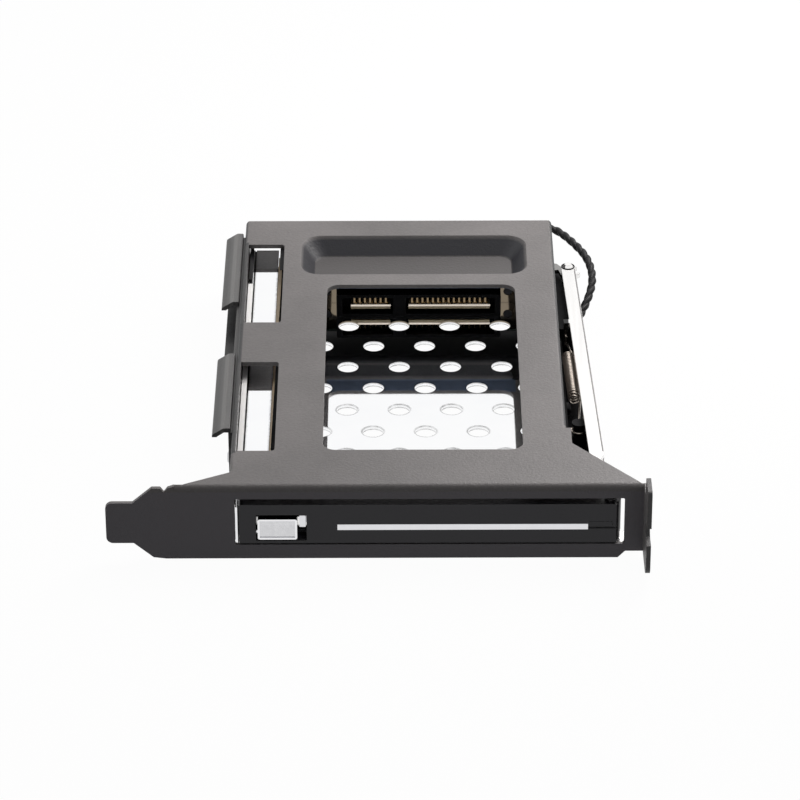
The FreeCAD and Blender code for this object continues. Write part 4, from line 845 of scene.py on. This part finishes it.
contacts = {
    # spring contacts behind the connector's two tongues, with the left end and the number of each row:
    # each contact rises by its bow over the tongue and ends in the housing, and a bright lip runs along
    # each tongue
    "pitch": 1.27, "wide": 0.42, "padWide": 0.75, "rows": ((53.0, 7), (67.0, 15)), "side": 0.65,
    "front": 106.6, "back": 109.3, "low": 6.55, "high": 7.9, "thick": 0.14,
    "bow": ((0.5, 0), (0.7, 0.4), (1.1, 1.35), (1.6, 1.45)),
    "lip": ((-0.02, 5.72), (-0.05, 5.82), (-0.05, 6.22), (0.03, 6.32)), "lipThick": 0.04,
}


def ribbon(middle, wide, line, thick):
    # a flat strip that follows a line of depths and heights
    vertices = []
    for index, (y, z) in enumerate(line):
        ahead = Vector(line[min(index + 1, len(line) - 1)]) - Vector(line[max(index - 1, 0)])
        side = Vector((-ahead.y, ahead.x)).normalized() * thick
        for x, dy, dz in ((-1, 0, 0), (1, 0, 0), (1, side.x, side.y), (-1, side.x, side.y)):
            vertices.append(at(middle + x * wide / 2, y + dy, z + dz))
    return vertices, stripFaces(len(line))


def makeContacts():
    wide, pitch = contacts["wide"], contacts["pitch"]
    front, low = contacts["front"], contacts["low"]
    bow = [(front + y, low + z) for y, z in contacts["bow"]] + [(contacts["back"], contacts["high"])]
    lip = [(front + y, z) for y, z in contacts["lip"]]
    combs, lips = [], []
    for left, count in contacts["rows"]:
        for index in range(count):
            middle = left + contacts["side"] + pitch * index + wide / 2
            combs.append(ribbon(middle, wide, bow, contacts["thick"]))
        reach = contacts["side"] * 2 + pitch * (count - 1) + contacts["padWide"]
        lips.append(ribbon(left + reach / 2, reach, lip, contacts["lipThick"]))
    for name, parts, finish in (("contactComb", combs, "contactWire"), ("tongueLips", lips, "tongueLip")):
        piece = newObject(name, joinShapes(name, parts), materials[finish], smooth=False)
        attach(piece, "cage")


def makeRing(name, middle, radius, wire, finish, body, sides=40, loop=8):
    # a closed ring of round wire, lying flat
    vertices, faces = [], []
    for k in range(sides):
        turn = 2 * math.pi * k / sides
        out = Vector((math.cos(turn), math.sin(turn), 0))
        for m in range(loop):
            roll = 2 * math.pi * m / loop
            rise = Vector((0, 0, wire * math.sin(roll)))
            vertices.append(middle + (out * (radius + wire * math.cos(roll)) + rise) * mm)
            nextRing, nextLoop = (k + 1) % sides * loop, (m + 1) % loop
            faces.append((k * loop + m, nextRing + m, nextRing + nextLoop, k * loop + nextLoop))
    piece = newObject(name, meshFrom(name, vertices, faces), materials[finish])
    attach(piece, body)


def makeLinkTrim():
    # painted shade: a grey strip on the rolled right edge of the pull link, and a dark ring in the gap
    # round its rivet's head
    near, far = link["ends"]
    steps = link["edgeSteps"]
    vertices = []
    for k in range(steps + 1):
        along = near + (far - near) * k / steps
        for across, rise in link["edge"]:
            vertices.append(onLink(across, along, link["top"] + rise))
    mesh = meshFrom("linkEdgeShade", vertices, stripFaces(steps + 1))
    piece = newObject("linkEdgeShade", mesh, materials["linkEdgeShade"], smooth=False)
    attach(piece, "link")
    middle = onLink(0, link["ringShift"], link["top"] + link["ringLift"])
    makeRing("rivetShadeRing", middle, link["ring"], link["ringWire"], "liner", "link")


makeContacts()
makeLinkTrim()
print("contacts and link trim made")


# seen is the paper that the camera sees, bounce the same paper as it lights the object, and bright
# how much of it glows by itself
floor = {"size": 6.0, "seen": 0.9, "bounce": 0.16, "bright": 0.97}
skyLevel = 0.07  # plain light from all round
lamps = {
    # place, aim and size in metres, power in watts
    "top": dict(
        place=(0.05, 0.50, 1.0), aim=(0, 0, 0), size=(0.9, 0.6), power=5.4, colour=(1.0, 0.97, 0.96),
    ),
    "left": dict(
        place=(-0.9, 0.15, 0.7), aim=(0, 0, 0), size=(0.6, 0.6), power=1.2, colour=(0.96, 0.98, 1.0),
    ),
    "right": dict(
        place=(0.14, 0.17, 0.20), aim=(0.02, 0.03, 0), size=(0.14, 0.14), power=0.62,
        colour=(1.0, 0.97, 0.96),
    ),
}


def seenRays(tree):
    # 1 for the camera and for what gloss and glass show, 0 for plain light
    path = addNode(tree, "ShaderNodeLightPath")
    seen = mathNode(tree, "MAXIMUM", path.outputs["Is Camera Ray"], path.outputs["Is Glossy Ray"])
    return mathNode(tree, "MAXIMUM", seen, path.outputs["Is Transmission Ray"])


def makeFloor():
    half = floor["size"] / 2
    low = cadBounds[0][2]
    corners = [(-half, -half, low), (half, -half, low), (half, half, low), (-half, half, low)]
    material = bpy.data.materials.new("floor")
    material.use_nodes = True
    tree = material.node_tree
    tree.nodes.clear()
    output = addNode(tree, "ShaderNodeOutputMaterial")
    paper = addNode(tree, "ShaderNodeBsdfDiffuse", {"Color": (floor["seen"],) * 3 + (1,)})
    bounce = addNode(tree, "ShaderNodeBsdfDiffuse", {"Color": (floor["bounce"],) * 3 + (1,)})
    glow = addNode(tree, "ShaderNodeEmission", {"Strength": 1.0})
    lit = addNode(tree, "ShaderNodeMixShader", {"Fac": floor["bright"]})
    tree.links.new(paper.outputs[0], lit.inputs[1])
    tree.links.new(glow.outputs[0], lit.inputs[2])
    either = addNode(tree, "ShaderNodeMixShader")
    tree.links.new(seenRays(tree), either.inputs["Fac"])
    tree.links.new(bounce.outputs[0], either.inputs[1])
    tree.links.new(lit.outputs[0], either.inputs[2])
    tree.links.new(either.outputs[0], output.inputs["Surface"])
    sheet = newObject("floor", meshFrom("floor", corners, [(0, 1, 2, 3)]), material, smooth=False)


def makeWorld():
    world = bpy.data.worlds.new("studio")
    scene.world = world
    world.use_nodes = True
    tree = world.node_tree
    tree.nodes.clear()
    output = addNode(tree, "ShaderNodeOutputWorld")
    back = addNode(tree, "ShaderNodeBackground", {"Color": (1, 1, 1, 1)})
    tree.links.new(rampNode(tree, seenRays(tree), 0.0, 1.0, skyLevel, 1.0), back.inputs["Strength"])
    tree.links.new(back.outputs[0], output.inputs["Surface"])


def makeLamps():
    for name, values in lamps.items():
        light = bpy.data.lights.new(name, "AREA")
        light.shape = "RECTANGLE"
        light.size, light.size_y = values["size"]
        light.energy = values["power"]
        light.color = values["colour"]
        lamp = bpy.data.objects.new(name, light)
        place, aim = Vector(values["place"]), Vector(values["aim"])
        turned = (aim - place).to_track_quat("-Z", "Y").to_matrix().to_4x4()
        lamp.matrix_world = Matrix.Translation(place) @ turned
        scene.collection.objects.link(lamp)


makeFloor()
makeWorld()
makeLamps()
print("floor, world and lamps made")
